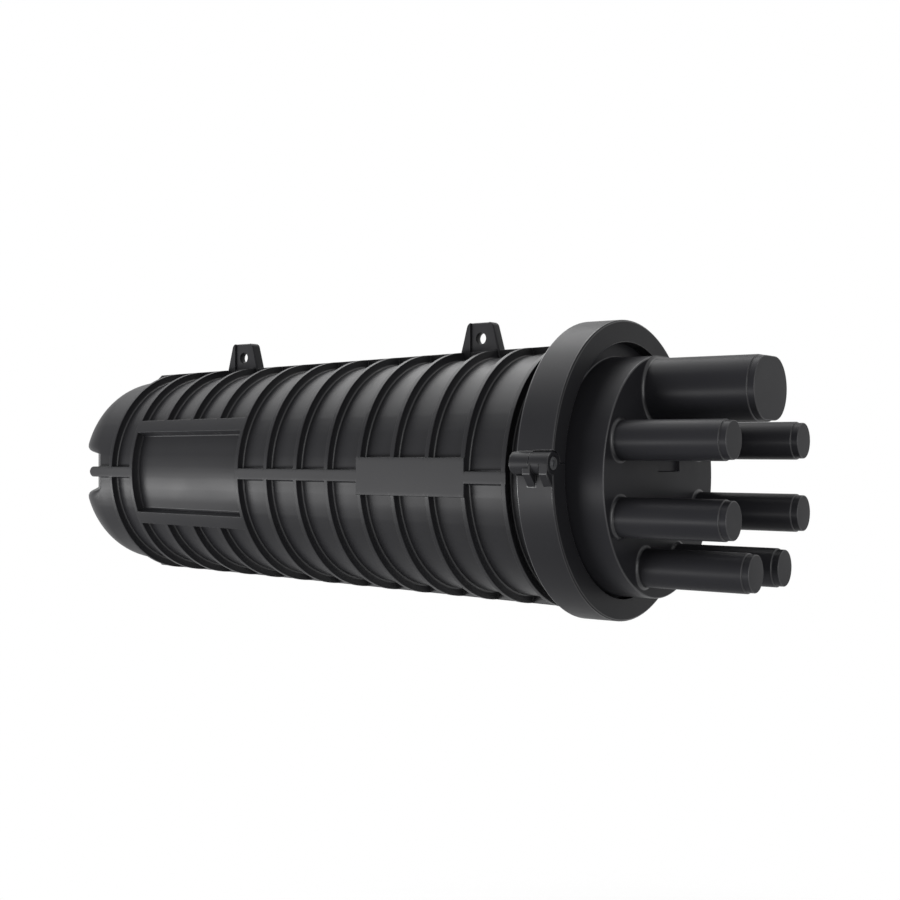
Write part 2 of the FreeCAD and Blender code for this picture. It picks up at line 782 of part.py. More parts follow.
def add_gussets(body):
    """Two wedges under the barrel, as proud as the barrel, which slope back to the ring."""
    inside = "-(%s + ring_band / 2)" % GROOVE_RADIUS
    outside = "-(%s + barrel_radius)" % HINGE_REACH
    for name, start in (("inner", "-gusset_start"), ("outer", "(gusset_width + gusset_gap - gusset_start)")):
        sketch = new_sketch(body, "YZ_Plane", name + "_gusset_outline", start)
        draw_outline(sketch, [(outside, "hinge_height"), (outside, "(hinge_height - gusset_face)"),
                              (inside, "(hinge_height - gusset_drop)"), (inside, "hinge_height")])
        pad(body, sketch, "gusset_width", name + "_gusset")


def add_nut_room(body):
    """Sink a hexagon into the rear knuckle, so that the nut can't turn."""
    size = "((nut_width + 2 * nut_play) / sqrt(3))"
    sketch = new_sketch(body, "YZ_Plane", "nut_room_outline", "-" + RING_HALF)
    draw_outline(sketch, [("(%s + %s * sin(%d))" % (HINGE_Y, size, angle),
                           "(hinge_height + %s * cos(%d))" % (size, angle)) for angle in HEX_ANGLES])
    pocket(body, sketch, "(nut_height + bolt_end)", "nut_room", forward=True)


def add_ears(body):
    """Two ears between which the latch lever turns."""
    for name, start in (("rear", "-(%s + ear_thickness)" % EAR_INNER), ("front", EAR_INNER)):
        plate = new_sketch(body, "YZ_Plane", name + "_ear_outline", start)
        draw_outline(plate, [("(%s - ring_band)" % GROOVE_RADIUS, "(pivot_height + ear_root)"),
                             (GROOVE_RADIUS, "(pivot_height - ear_root)"),
                             (PIVOT_REACH, "(pivot_height - ear_radius)"),
                             (PIVOT_REACH, "(pivot_height + ear_radius)")])
        pad(body, plate, "ear_thickness", name + "_ear")
        nose = new_sketch(body, "YZ_Plane", name + "_ear_nose_outline", start)
        draw_circle(nose, PIVOT_REACH, "pivot_height", "ear_radius")
        pad(body, nose, "ear_thickness", name + "_ear_nose")
    bore = new_sketch(body, "YZ_Plane", "pivot_bore_outline")
    draw_circle(bore, PIVOT_REACH, "pivot_height", PIVOT_BORE)
    pocket(body, bore, "(2 * ring_width)", "pivot_bore", symmetric=True)


def add_catch(body):
    """Wedge whose sloping underside the latch hook pulls on."""
    root = "(%s + ring_band / 2)" % GROOVE_RADIUS
    slope = "((%s - %s) * tan(catch_angle))" % (CATCH_REACH, root)
    sketch = new_sketch(body, "YZ_Plane", "catch_outline")
    draw_outline(sketch, [(CATCH_REACH, "-catch_depth"), (CATCH_REACH, "(catch_height - catch_depth)"),
                          (root, "(2 * catch_height - catch_depth)"), (root, "(-catch_depth - %s)" % slope)])
    pad(body, sketch, "latch_width", "catch", symmetric=True)


def make_clamp_upper_half():
    body = new_body("clamp_upper_half")
    add_ring(body)
    cut_half(body, upper=True)
    add_knuckle(body, front=False)
    trim_knuckle(body)
    add_nut_room(body)
    add_ears(body)
    keep(body, "clamp_upper_half", "ring_rise")


def make_clamp_lower_half():
    body = new_body("clamp_lower_half")
    add_ring(body)
    cut_half(body, upper=False)
    add_gussets(body)
    add_knuckle(body, front=True)
    trim_knuckle(body)
    add_open_channel(body)
    head = new_sketch(body, "YZ_Plane", "bolt_head_outline", "(%s - bolt_head_height)" % RING_HALF)
    draw_circle(head, HINGE_Y, "hinge_height", "(bolt_head_radius + screw_play)")
    pocket(body, head, "ring_width", "bolt_head_room", forward=True)
    add_catch(body)
    keep(body, "clamp_lower_half", "ring_rise")


def make_hinge_bolt():
    under_head = "(%s - bolt_head_height + bolt_play)" % RING_HALF
    tail = "(-%s)" % RING_HALF
    shank = rod("bolt_shank", ALONG_X, (tail, HINGE_Y, "hinge_height"), "bolt_radius",
                "(%s - %s)" % (under_head, tail))
    head = rod("bolt_head", ALONG_X, (under_head, HINGE_Y, "hinge_height"), "bolt_head_radius",
               "(bolt_head_height - bolt_play)")
    socket = hexagon("bolt_socket_room", "(%s - bolt_socket_depth)" % RING_HALF, "bolt_socket",
                     "(bolt_socket_depth + %d)" % OVERLAP)
    keep(less("hinge_bolt", joined("bolt_blank", [shank, head]), [socket]), "hinge_bolt", "ring_rise")


def hexagon(name, start, width, length):
    """Hexagonal prism about the hinge axis, given its width across flats."""
    item = doc.addObject("Part::Prism", name)
    item.Polygon = 6
    item.Placement.Rotation = FreeCAD.Rotation(FreeCAD.Vector(0, 0, 1), FreeCAD.Vector(1, 0, 0))
    bind(item, "Circumradius", "%s / sqrt(3)" % width)
    bind(item, "Height", length)
    for axis, text in zip("xyz", (start, HINGE_Y, "hinge_height")):
        bind(item, "Placement.Base." + axis, text)
    return item


def make_hinge_nut():
    start = "(bolt_end - %s)" % RING_HALF
    blank = hexagon("nut_blank", start, "nut_width", "nut_height")
    bore = rod("nut_bore", ALONG_X, (start, HINGE_Y, "hinge_height"), BOLT_BORE, "nut_height")
    keep(less("hinge_nut", blank, [bore]), "hinge_nut", "ring_rise")


def make_latch_lever():
    """Lever whose hook follows the catch's slope a small gap away, with a flared finger tab."""
    body = new_body("latch_lever")
    inner = LEVER_INNER
    outer = "(%s + latch_arm)" % LEVER_INNER
    across = "(%s + hook_gap * sin(catch_angle))" % CATCH_REACH
    down = "(catch_depth + hook_gap * cos(catch_angle))"
    heel = "((%s - %s) * tan(catch_angle) - %s)" % (inner, across, down)
    tip = "((%s - %s) * tan(catch_angle) - %s)" % (HOOK_REACH, across, down)
    tail = "(pivot_height - latch_tail)"
    arm = new_sketch(body, "YZ_Plane", "lever_outline")
    draw_outline(arm, [(inner, "pivot_height"), (inner, heel), (HOOK_REACH, tip),
                       (HOOK_REACH, "(%s - hook_height)" % tip),
                       (inner, "(%s - 3 * hook_height)" % tip), ("(%s + latch_flare)" % inner, tail),
                       ("(%s + latch_flare)" % outer, tail),
                       (outer, "(%s - 3 * hook_height)" % tip), (outer, "pivot_height")])
    pad(body, arm, "latch_width", "lever_arm", symmetric=True)
    hub = new_sketch(body, "YZ_Plane", "lever_hub_outline")
    draw_circle(hub, PIVOT_REACH, "pivot_height", "ear_radius")
    pad(body, hub, "latch_width", "lever_hub", symmetric=True)
    bore = new_sketch(body, "YZ_Plane", "lever_bore_outline")
    draw_circle(bore, PIVOT_REACH, "pivot_height", PIVOT_BORE)
    pocket(body, bore, "(2 * latch_width)", "lever_bore", symmetric=True)
    keep(body, "latch_lever", "ring_rise")


def make_latch_pin():
    half = "(%s + ear_thickness + ear_play)" % EAR_INNER
    pin = rod("latch_pin_rod", ALONG_X, ("-" + half, PIVOT_REACH, "pivot_height"), "pivot_radius",
              "(2 * %s)" % half)
    keep(group("latch_pin", [pin]), "latch_pin", "ring_rise")


# Bracket and trays inside

def screw_places():
    for side in SIDES:
        for height in ("screw_low", "screw_high"):
            yield "(%d * screw_row)" % side, "(%s - shelf_drop)" % height


def grip_places():
    for side in SIDES:
        yield "(%d * grip_offset)" % side, "(bracket_height / 2 - shelf_drop)"


def make_tray_bracket():
    plate = box("bracket_plate", (PLATE_BACK, "-bracket_width / 2", "-shelf_drop"),
                ("bracket_thickness", "bracket_width", "bracket_height"))
    shelf = box("bracket_shelf", ("-shelf_end", "-tray_width / 2", "-shelf_drop"),
                ("(shelf_end + %s)" % BACK_WALL, "tray_width", "bracket_thickness"))
    holes = []
    for i, (across, up) in enumerate(screw_places()):
        holes.append(rod("bracket_hole_%d" % i, ALONG_X, (PLATE_BACK, across, up),
                         "(screw_radius + screw_play)", "bracket_thickness"))
    for i, (across, up) in enumerate(grip_places()):
        holes.append(rod("grip_hole_%d" % i, ALONG_X, (PLATE_BACK, across, up),
                         "(grip_screw_radius + screw_play)", "bracket_thickness"))
    keep(less("tray_bracket", joined("bracket_blank", [plate, shelf]), holes), "tray_bracket")


def screw(name, seat, across, up, radius, length, head_radius, head_height):
    """Pan-head screw that points along +X, its head resting against x = seat."""
    shank = rod(name + "_shank", ALONG_X, (seat, across, up), radius, length)
    head = rod(name + "_head", ALONG_X, ("(%s - %s)" % (seat, head_height), across, up),
               head_radius, head_height)
    return joined(name, [head, shank])


def make_bracket_screws():
    screws = []
    for i, (across, up) in enumerate(screw_places()):
        screws.append(screw("bracket_screw_%d" % i, PLATE_BACK, across, up, "screw_radius",
                            "(bracket_thickness + screw_bite)", "screw_head_radius", "screw_head_height"))
    keep(group("bracket_screws", screws), "bracket_screws")


def make_strength_member_clamps():
    seat = "(%s - grip_depth)" % PLATE_BACK
    blocks, screws = [], []
    for i, (across, up) in enumerate(grip_places()):
        low = (seat, "(%s - grip_width / 2)" % across, "(%s - grip_height / 2)" % up)
        block = box("grip_block_%d" % i, low, ("grip_depth", "grip_width", "grip_height"))
        hole = rod("grip_block_hole_%d" % i, ALONG_X, (seat, across, up),
                   "(grip_screw_radius + screw_play)", "grip_depth")
        blocks.append(less("grip_%d" % i, block, [hole]))
        screws.append(screw("grip_screw_%d" % i, seat, across, up, "grip_screw_radius",
                            "(grip_depth + bracket_thickness - screw_play)",
                            "grip_head_radius", "grip_head_height"))
    keep(group("strength_member_clamps", blocks), "strength_member_clamps")
    keep(group("strength_member_screws", screws), "strength_member_screws")


def make_slack_basket():
    low = ("(-tray_front - tray_length)", "-tray_width / 2", BASKET_BOTTOM)
    outer = box("basket_outer", low, ("tray_length", "tray_width", "basket_depth"))
    inner_low = ["(%s + basket_wall)" % text for text in low]
    inner = box("basket_inner", inner_low, ("(tray_length - 2 * basket_wall)",
                                            "(tray_width - 2 * basket_wall)", "basket_depth"))
    keep(less("slack_basket", outer, [inner]), "slack_basket")


def pin_height(index):
    return "(%s + tray_height / 2)" % tray_floor(index)


def make_tray_hinge():
    """Base plate with two cheeks, and one pin across them for each tray."""
    start = "(%s - cheek_length / 2)" % PIN_X
    inner = "(tongue_width / 2 + cheek_play)"
    outer = "(%s + cheek_thickness)" % inner
    tall = "(%s - %s)" % (STACK_TOP, SHELF_TOP)
    plate = box("hinge_plate", (start, "-" + outer, SHELF_TOP),
                ("cheek_length", "(2 * %s)" % outer, "tray_wall"))
    near_cheek = box("near_cheek", (start, "-" + outer, SHELF_TOP), ("cheek_length", "cheek_thickness", tall))
    far_cheek = box("far_cheek", (start, inner, SHELF_TOP), ("cheek_length", "cheek_thickness", tall))
    holes, pins = [], []
    for i in range(TRAY_COUNT):
        place = (PIN_X, "-" + outer, pin_height(i))
        holes.append(rod("cheek_hole_%d" % i, ALONG_Y, place, "(pin_radius + pin_play)", "(2 * %s)" % outer))
        pins.append(rod("tray_pin_%d" % i, ALONG_Y, place, "pin_radius", "(2 * %s)" % outer))
    blank = joined("hinge_blank", [plate, near_cheek, far_cheek])
    keep(less("tray_hinge_block", blank, holes), "tray_hinge_block")
    keep(group("tray_hinge_pins", pins), "tray_hinge_pins")


def make_splice_tray(index):
    name = "splice_tray_%d" % (index + 1)
    floor = tray_floor(index)
    low = ("(-tray_front - tray_length)", "-tray_width / 2", floor)
    outer = box(name + "_outer", low, ("tray_length", "tray_width", "tray_height"))
    inner_low = ["(%s + tray_wall)" % text for text in low]
    inner = box(name + "_inner", inner_low, ("(tray_length - 2 * tray_wall)",
                                             "(tray_width - 2 * tray_wall)", "tray_height"))
    tongue_low = ("(-tray_front - tray_wall)", "-tongue_width / 2",
                  "(%s - tongue_thickness / 2)" % pin_height(index))
    tongue = box(name + "_tongue", tongue_low, ("(tray_wall + hinge_setback + tongue_nose)",
                                                "tongue_width", "tongue_thickness"))
    shell = joined(name + "_shell", [less(name + "_dish", outer, [inner]), tongue])
    hole = rod(name + "_hole", ALONG_Y, (PIN_X, "-tongue_width / 2", pin_height(index)),
               "(pin_radius + pin_play)", "tongue_width")
    keep(less(name, shell, [hole]), name)


def make_splice_holder(index):
    """Comb with one slot for each splice sleeve."""
    name = "splice_holder_%d" % (index + 1)
    floor = "(%s + tray_wall)" % tray_floor(index)
    start = "(-%s - holder_length / 2)" % TRAY_MIDDLE
    block = box(name + "_block", (start, "-holder_width / 2", floor),
                ("holder_length", "holder_width", "holder_height"))
    slots = []
    for i in range(SLEEVE_COUNT):
        middle = "(holder_width * (%g / %d - 0.5))" % (i + 0.5, SLEEVE_COUNT)
        low = (start, "(%s - sleeve_slot / 2)" % middle, "(%s + holder_height - sleeve_depth)" % floor)
        slots.append(box("%s_slot_%d" % (name, i), low, ("holder_length", "sleeve_slot", "sleeve_depth")))
    keep(less(name, block, slots), name)


def make_tray_cover():
    """Lid on the top tray, with a rim that drops inside the tray's walls."""
    low = ("(-tray_front - tray_length)", "-tray_width / 2", STACK_TOP)
    lid = box("cover_plate", low, ("tray_length", "tray_width", "cover_thickness"))
    inset = "(tray_wall + tray_gap)"
    rim = box("cover_rim", ("(-tray_front - tray_length + %s)" % inset, "(%s - tray_width / 2)" % inset,
                            "(%s - tray_gap)" % STACK_TOP),
              ("(tray_length - 2 * %s)" % inset, "(tray_width - 2 * %s)" % inset, "(2 * tray_gap)"))
    keep(joined("tray_cover", [lid, rim]), "tray_cover")


def make_hold_down_strap():
    """Band looped round the tray stack and the basket."""
    start = "(-%s - strap_width / 2)" % TRAY_MIDDLE
    side = "(tray_width / 2 + strap_play)"
    bottom = "(%s - strap_play)" % BASKET_BOTTOM
    tall = "(%s + cover_thickness + strap_play - %s)" % (STACK_TOP, bottom)
    inner = box("strap_inside", (start, "-" + side, bottom), ("strap_width", "(2 * %s)" % side, tall))
    outer = box("strap_outside", (start, "-(%s + strap_thickness)" % side, "(%s - strap_thickness)" % bottom),
                ("strap_width", "(2 * (%s + strap_thickness))" % side, "(%s + 2 * strap_thickness)" % tall))
    keep(less("hold_down_strap", outer, [inner]), "hold_down_strap")


def write_parts():
    """Check every object and each piece's shape, then write one file for each piece."""
    doc.recompute()
    for item in doc.Objects:
        if "Invalid" in item.State or "Error" in item.State:
            raise RuntimeError("%s failed: %s" % (item.Label, item.State))
    for item in nodes:
        if item.Shape.isNull() or not item.Shape.isValid():
            raise RuntimeError("%s has no valid shape" % item.Label)
    os.makedirs("parts", exist_ok=True)
    for item in nodes:
        item.Shape.exportStep("parts/%s.step" % item.Label)
        print(item.Label, len(item.Shape.Solids), round(item.Shape.Volume))


def build():
    fill_sheet()
    make_dome_cover()
    make_port_base()
    make_sealing_gasket()
    make_clamp_upper_half()
    make_clamp_lower_half()
    make_hinge_bolt()
    make_hinge_nut()
    make_latch_lever()
    make_latch_pin()
    make_tray_bracket()
    make_bracket_screws()
    make_strength_member_clamps()
    make_slack_basket()
    make_tray_hinge()
    for index in range(TRAY_COUNT):
        make_splice_tray(index)
        make_splice_holder(index)
    make_tray_cover()
    make_hold_down_strap()
    write_parts()


build()
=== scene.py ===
"""Looks of a fibre splice closure: a ribbed dome, a port base and the hinged clamp ring that joins them.

Lengths are millimetres in the drawing frame, where x runs along the closure's axis towards the ports,
z points up to the hanging lugs and x = 0 is the joint plane. Depths of the dome are counted back from
that plane. Meshes are moved to the part's own frame, in metres, when they are made.
"""

import json
import logging
import math
from collections.abc import Sequence
from dataclasses import dataclass
from enum import Enum

import bmesh
import bpy
import numpy as np
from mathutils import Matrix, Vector


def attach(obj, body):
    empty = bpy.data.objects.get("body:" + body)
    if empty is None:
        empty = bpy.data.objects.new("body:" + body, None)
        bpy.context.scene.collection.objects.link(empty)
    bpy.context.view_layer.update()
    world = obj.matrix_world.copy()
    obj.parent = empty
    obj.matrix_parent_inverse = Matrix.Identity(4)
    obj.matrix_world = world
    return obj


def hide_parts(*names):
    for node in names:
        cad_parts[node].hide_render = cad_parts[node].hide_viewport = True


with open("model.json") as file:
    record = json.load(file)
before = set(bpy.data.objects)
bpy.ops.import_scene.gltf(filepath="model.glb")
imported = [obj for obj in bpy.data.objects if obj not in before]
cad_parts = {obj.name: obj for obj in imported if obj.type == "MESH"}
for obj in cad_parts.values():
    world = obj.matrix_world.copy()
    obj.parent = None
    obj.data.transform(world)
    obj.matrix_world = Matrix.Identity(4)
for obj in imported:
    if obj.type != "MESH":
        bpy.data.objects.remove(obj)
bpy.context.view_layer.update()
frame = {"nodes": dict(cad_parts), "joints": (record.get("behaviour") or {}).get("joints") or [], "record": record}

LOG = logging.getLogger("closure")
MM = 0.001
SHARP_ANGLE = math.radians(34)
MERGE_GAP = 1e-6
TINY = 1e-9
STRAIGHT = 0.9999
DEPTH_DIGITS = 4
ARC_TURNS = (math.radians(12), math.radians(60))
QUARTER_STEPS = np.radians([0, 30, 60, 90])
EDGE_LAYER = "edge_shine"
Array = np.ndarray


class Body(Enum):
    """Bodies of the frame that new pieces ride on."""

    CLOSURE = "closure"


class Slot(Enum):
    """Material slots of the record."""

    DOME = "dome_plastic"
    BASE = "base_plastic"
    CLAMP = "clamp_plastic"
    STEEL = "fastener_steel"
    SEAL = "seal_rubber"
    BRACKET = "bracket_metal"
    TRAY = "tray_plastic"
    HOLDER = "holder_rubber"
    COVER = "cover_plastic"
    STRAP = "strap_webbing"


# Places that come from the frame

HINGE_HEIGHT = 6.0
RING_RISE = 4.3
HINGE = Vector(next(joint["pos_m"] for joint in frame["joints"] if joint["name"] == "clamp_hinge"))
JOINT_X = HINGE.x / MM
AXIS_Z = HINGE.z / MM - HINGE_HEIGHT - RING_RISE


# Mesh tools

def rounded(corners: Sequence[tuple[float, float, float]], steps: int = 5) -> Array:
    """Round the corners of an open outline.

    Each corner becomes an arc tangent to its two sides: with half the corner's angle h, the arc starts
    radius / tan(h) before the corner and its centre lies radius / sin(h) along the bisector.

    Args:
        corners: two coordinates and the radius of each corner; a radius of 0 keeps it sharp.
        steps: segments of each arc.

    Returns:
        The outline's points, one row each.
    """
    points = np.array([corner[:2] for corner in corners], float)
    rows = [points[:1]]
    for before, here, after, corner in zip(points, points[1:], points[2:], corners[1:]):
        radius = corner[2]
        back, ahead = before - here, after - here
        back /= np.linalg.norm(back)
        ahead /= np.linalg.norm(ahead)
        if radius == 0 or abs(back @ ahead) > STRAIGHT:
            rows.append(here[None])
            continue
        half = math.acos(np.clip(back @ ahead, -1, 1)) / 2
        bisector = (back + ahead) / np.linalg.norm(back + ahead)
        centre = here + bisector * radius / math.sin(half)
        start = here + back * radius / math.tan(half) - centre
        stop = here + ahead * radius / math.tan(half) - centre
        turn = math.pi - 2 * half
        share = np.linspace(0, 1, steps + 1)[:, None] * turn
        rows.append(centre + (start * np.sin(turn - share) + stop * np.sin(share)) / math.sin(turn))
    rows.append(points[-1:])
    return np.concatenate(rows)


def grid_faces(rows: int, columns: int) -> Array:
    """Return the quads of a grid whose last column joins its first.

    Args:
        rows: rows of points.
        columns: points in each row.

    Returns:
        Four point numbers for each face.
    """
    row = np.arange(rows - 1)[:, None] * columns
    here = np.arange(columns)[None]
    after = np.roll(here, -1, axis=1)
    corners = [row + here, row + after, row + columns + after, row + columns + here]
    return np.stack(corners, -1).reshape(-1, 4)


def edge_rows(profile: Array) -> Array:
    """Mark the rows of a turned profile that lie on a rounded edge.

    A row lies within an arc where the profile turns there by a small angle: it neither runs straight on, nor
    enters or leaves the arc, nor turns a sharp corner.

    Args:
        profile: x and radius of each row.

    Returns:
        One within an arc and zero elsewhere, as a column.
    """
    course = np.unwrap(np.arctan2(*np.diff(profile, axis=0).T[::-1]))
    turn = np.abs(np.diff(course, prepend=course[:1], append=course[-1:]))
    return ((turn > ARC_TURNS[0]) & (turn < ARC_TURNS[1])).astype(float)[:, None]


def new_piece(name: str, grids: Sequence[Array],
              shines: Sequence[Array] | None = None) -> bpy.types.Object:
    """Make one mesh object from grids of points.

    Args:
        name: the piece's name.
        grids: one array of rows x columns x 3 for each closed surface, in millimetres.
        shines: edge layer of each grid: 1 on polished fillets, 0 on plain and -1 on matt places.

    Returns:
        The new object, at the origin.
    """
    offset = np.array([JOINT_X, 0.0, AXIS_Z])
    points, faces, first = [], [], 0
    for grid in grids:
        rows, columns = grid.shape[:2]
        points.append((grid.reshape(-1, 3) + offset) * MM)
        faces.append(grid_faces(rows, columns) + first)
        first += rows * columns
    vertices = np.concatenate(points)
    quads = np.concatenate(faces)
    mesh = bpy.data.meshes.new(name)
    mesh.vertices.add(len(vertices))
    mesh.vertices.foreach_set("co", vertices.astype(np.float32).ravel())
    mesh.loops.add(quads.size)
    mesh.loops.foreach_set("vertex_index", quads.astype(np.int32).ravel())
    mesh.polygons.add(len(quads))
    mesh.polygons.foreach_set("loop_start", np.arange(0, quads.size, 4, dtype=np.int32))
    mesh.update(calc_edges=True)
    if shines is not None:
        levels = [np.broadcast_to(shine, grid.shape[:2]).ravel() for shine, grid in zip(shines, grids)]
        layer = mesh.attributes.new(EDGE_LAYER, "FLOAT", "POINT")
        layer.data.foreach_set("value", np.concatenate(levels).astype(np.float32))
    close_mesh(mesh)
    piece = bpy.data.objects.new(name, mesh)
    bpy.context.scene.collection.objects.link(piece)
    keep_flats(piece)
    return piece


def keep_flats(piece: bpy.types.Object) -> None:
    """Let large faces lead the shading, so that rounded edges don't bend the flats beside them.

    Args:
        piece: the object whose normals are weighted.
    """
    weighted = piece.modifiers.new("flats", "WEIGHTED_NORMAL")
    weighted.keep_sharp = True


def soften(piece: bpy.types.Object, width: float, polish: bpy.types.Material) -> None:
    """Round the sharp edges of a node, as moulding does.

    Args:
        piece: the node, which has one material.
        width: width of the rounded edge, in millimetres.
        polish: material of the rounded edges.
    """
    piece.data.materials.append(polish)
    weld = piece.modifiers.new("weld", "WELD")
    weld.merge_threshold = MERGE_GAP
    bevel = piece.modifiers.new("soft_edges", "BEVEL")
    bevel.width = width * MM
    bevel.segments = 2
    bevel.limit_method = "ANGLE"
    bevel.angle_limit = SHARP_ANGLE
    bevel.use_clamp_overlap = False
    bevel.material = len(piece.data.materials) - 1
    keep_flats(piece)


def close_mesh(mesh: bpy.types.Mesh) -> None:
    """Merge poles and seams, point the faces outwards and shade the mesh smooth between its sharp edges.

    Args:
        mesh: the mesh to finish.
    """
    work = bmesh.new()
    work.from_mesh(mesh)
    bmesh.ops.remove_doubles(work, verts=work.verts, dist=MERGE_GAP)
    bmesh.ops.dissolve_degenerate(work, edges=work.edges, dist=MERGE_GAP)
    bmesh.ops.recalc_face_normals(work, faces=work.faces)
    work.to_mesh(mesh)
    work.free()
    mesh.shade_smooth()
    mesh.set_sharp_from_angle(angle=SHARP_ANGLE)


def around(columns: int) -> Array:
    """Space angles evenly over one full turn.

    Args:
        columns: number of angles.

    Returns:
        The angles, from zero on.
    """
    return np.linspace(0, 2 * math.pi, columns, endpoint=False)


def turned(profile: Array, columns: int, rises: float | Array = 0.0) -> Array:
    """Turn a profile about an axis along x.

    A point is (x, r cos t, rise + r sin t), so a rise that changes along the profile gives rims that
    don't share one axis.

    Args:
        profile: x and radius of each row.
        columns: points round the turn.
        rises: height of each row's centre.

    Returns:
        The grid of points.
    """
    angle = around(columns)[None]
    radius = profile[:, 1:2]
    across = np.broadcast_to(profile[:, 0:1], (len(profile), columns))
    centre = np.broadcast_to(np.asarray(rises, float).reshape(-1, 1), (len(profile), 1))
    return np.stack([across, radius * np.cos(angle), centre + radius * np.sin(angle)], -1)


# Material tools

def linear(code: str) -> tuple[float, float, float, float]:
    """Turn an sRGB hex colour into linear red, green, blue and alpha.

    Args:
        code: six hex digits after a hash sign.

    Returns:
        The four linear values.
    """
    levels = np.array([int(code[i:i + 2], 16) for i in (1, 3, 5)]) / 255
    values = np.where(levels <= 0.04045, levels / 12.92, ((levels + 0.055) / 1.055) ** 2.4)
    return (*values.tolist(), 1.0)


def add_node(tree: bpy.types.NodeTree, kind: str, inputs: dict | None = None,
             **settings) -> bpy.types.Node:
    """Add a node with its settings, input values and links.

    Args:
        tree: the node tree.
        kind: the node's type, without its common prefix.
        inputs: values, or output sockets to link from, by input name or number.
        settings: the node's own properties.

    Returns:
        The new node.
    """
    node = tree.nodes.new("ShaderNode" + kind)
    for key, value in settings.items():
        setattr(node, key, value)
    for key, value in (inputs or {}).items():
        if isinstance(value, bpy.types.NodeSocket):
            tree.links.new(value, node.inputs[key])
        else:
            node.inputs[key].default_value = value
    return node


def per_metre(size: float) -> float:
    """Turn the size of a pattern into a texture scale.

    Args:
        size: size of one cell of the pattern, in millimetres.

    Returns:
        Cells in a metre.
    """
    return 1 / (size * MM)


def blank(name: str) -> tuple[bpy.types.Material, bpy.types.NodeTree]:
    """Make a material without nodes.

    Args:
        name: the material's name.

    Returns:
        The material and its empty node tree.
    """
    item = bpy.data.materials.new(name)
    item.use_nodes = True
    item.node_tree.nodes.clear()
    return item, item.node_tree


@dataclass(frozen=True)
class Moulded:
    """Injection-moulded plastic: even colour, a fine spark-eroded grain and faint cloudy flow marks.

    The eye sees a satin surface whose highlights are broad and slightly uneven, with glossier fillets where
    the mould was polished and a duller end where it was not. Pattern sizes are millimetres.
    """

    name: str
    dark: str
    light: str
    roughness: float
    specular: float
    grain: float = 1.1
    grain_depth: float = 0.012
    cloud: float = 55.0
    cloud_range: tuple[float, float] = (0.3, 0.7)
    uneven: float = 0.05
    edge_specular: float | None = None
    matt_rise: float = 0.4

    def gloss(self, tree: bpy.types.NodeTree, rough: bpy.types.NodeSocket) -> dict:
        """Work out roughness and specular level, which follow the edge layer if the finish has edges.

        Args:
            tree: node tree of the material.
            rough: roughness of the plain surface.

        Returns:
            The shader's inputs by name.
        """
        if self.edge_specular is None:
            return {"Roughness": rough, "Specular IOR Level": self.specular}
        layer = add_node(tree, "Attribute", attribute_name=EDGE_LAYER).outputs["Fac"]
        matt = add_node(tree, "MapRange", {
            "Value": layer, "From Min": -1.0, "From Max": 0.0, "To Min": self.matt_rise, "To Max": 0.0})
        rough = add_node(tree, "Math", {0: rough, 1: matt.outputs["Result"]}, operation="ADD")
        level = add_node(tree, "MapRange", {
            "Value": layer, "To Min": self.specular, "To Max": self.edge_specular})
        return {"Roughness": rough.outputs["Value"], "Specular IOR Level": level.outputs["Result"]}

    def material(self) -> bpy.types.Material:
        """Build the material.

        Returns:
            A material whose colour and roughness follow the flow marks and whose bump is the grain.
        """
        item, tree = blank(self.name)
        place = add_node(tree, "TexCoord").outputs["Object"]
        cloud = add_node(tree, "TexNoise", {"Vector": place, "Scale": per_metre(self.cloud), "Detail": 4.0})
        grain = add_node(tree, "TexNoise", {"Vector": place, "Scale": per_metre(self.grain), "Detail": 2.0})
        tint = add_node(tree, "MixRGB", {
            "Fac": cloud.outputs["Fac"], "Color1": linear(self.dark), "Color2": linear(self.light)})
        low, high = self.cloud_range
        rough = add_node(tree, "MapRange", {
            "Value": cloud.outputs["Fac"], "From Min": low, "From Max": high,
            "To Min": self.roughness - self.uneven, "To Max": self.roughness + self.uneven})
        bump = add_node(tree, "Bump", {
            "Height": grain.outputs["Fac"], "Strength": 1.0, "Distance": self.grain_depth * MM})
        shader = add_node(tree, "BsdfPrincipled", {
            "Base Color": tint.outputs["Color"], "Normal": bump.outputs["Normal"],
            **self.gloss(tree, rough.outputs["Result"])})
        add_node(tree, "OutputMaterial", {"Surface": shader.outputs["BSDF"]})
        return item


DOME_PLASTIC = Moulded("moulded_polypropylene_black", "#18181a", "#1d1d1f", 0.42, 0.12, edge_specular=0.4)
BASE_PLASTIC = Moulded("moulded_polypropylene_base", "#1d1d20", "#222224", 0.38, 0.05, edge_specular=0.4)
CLAMP_PLASTIC = Moulded("glass_filled_nylon_black", "#19191b", "#1e1e20", 0.42, 0.08)
CLAMP_EDGE = Moulded("polished_nylon_edge", "#19191b", "#1e1e20", 0.3, 0.35)
TRAY_PLASTIC = Moulded("moulded_tray_abs_grey", "#c3c6c6", "#cdd0d0", 0.42, 0.4)
COVER_PLASTIC = Moulded("tray_cover_polycarbonate", "#d5dadb", "#dfe3e4", 0.25, 0.5)
RUBBER = Moulded("moulded_silicone_rubber", "#1a1a1b", "#202021", 0.62, 0.3)
HOLDER_RUBBER = Moulded("splice_holder_rubber", "#5d6163", "#65696b", 0.6, 0.3)
STRAP = Moulded("woven_polyamide_strap", "#1b1b1d", "#262629", 0.75, 0.2, grain=1.6, grain_depth=0.2)


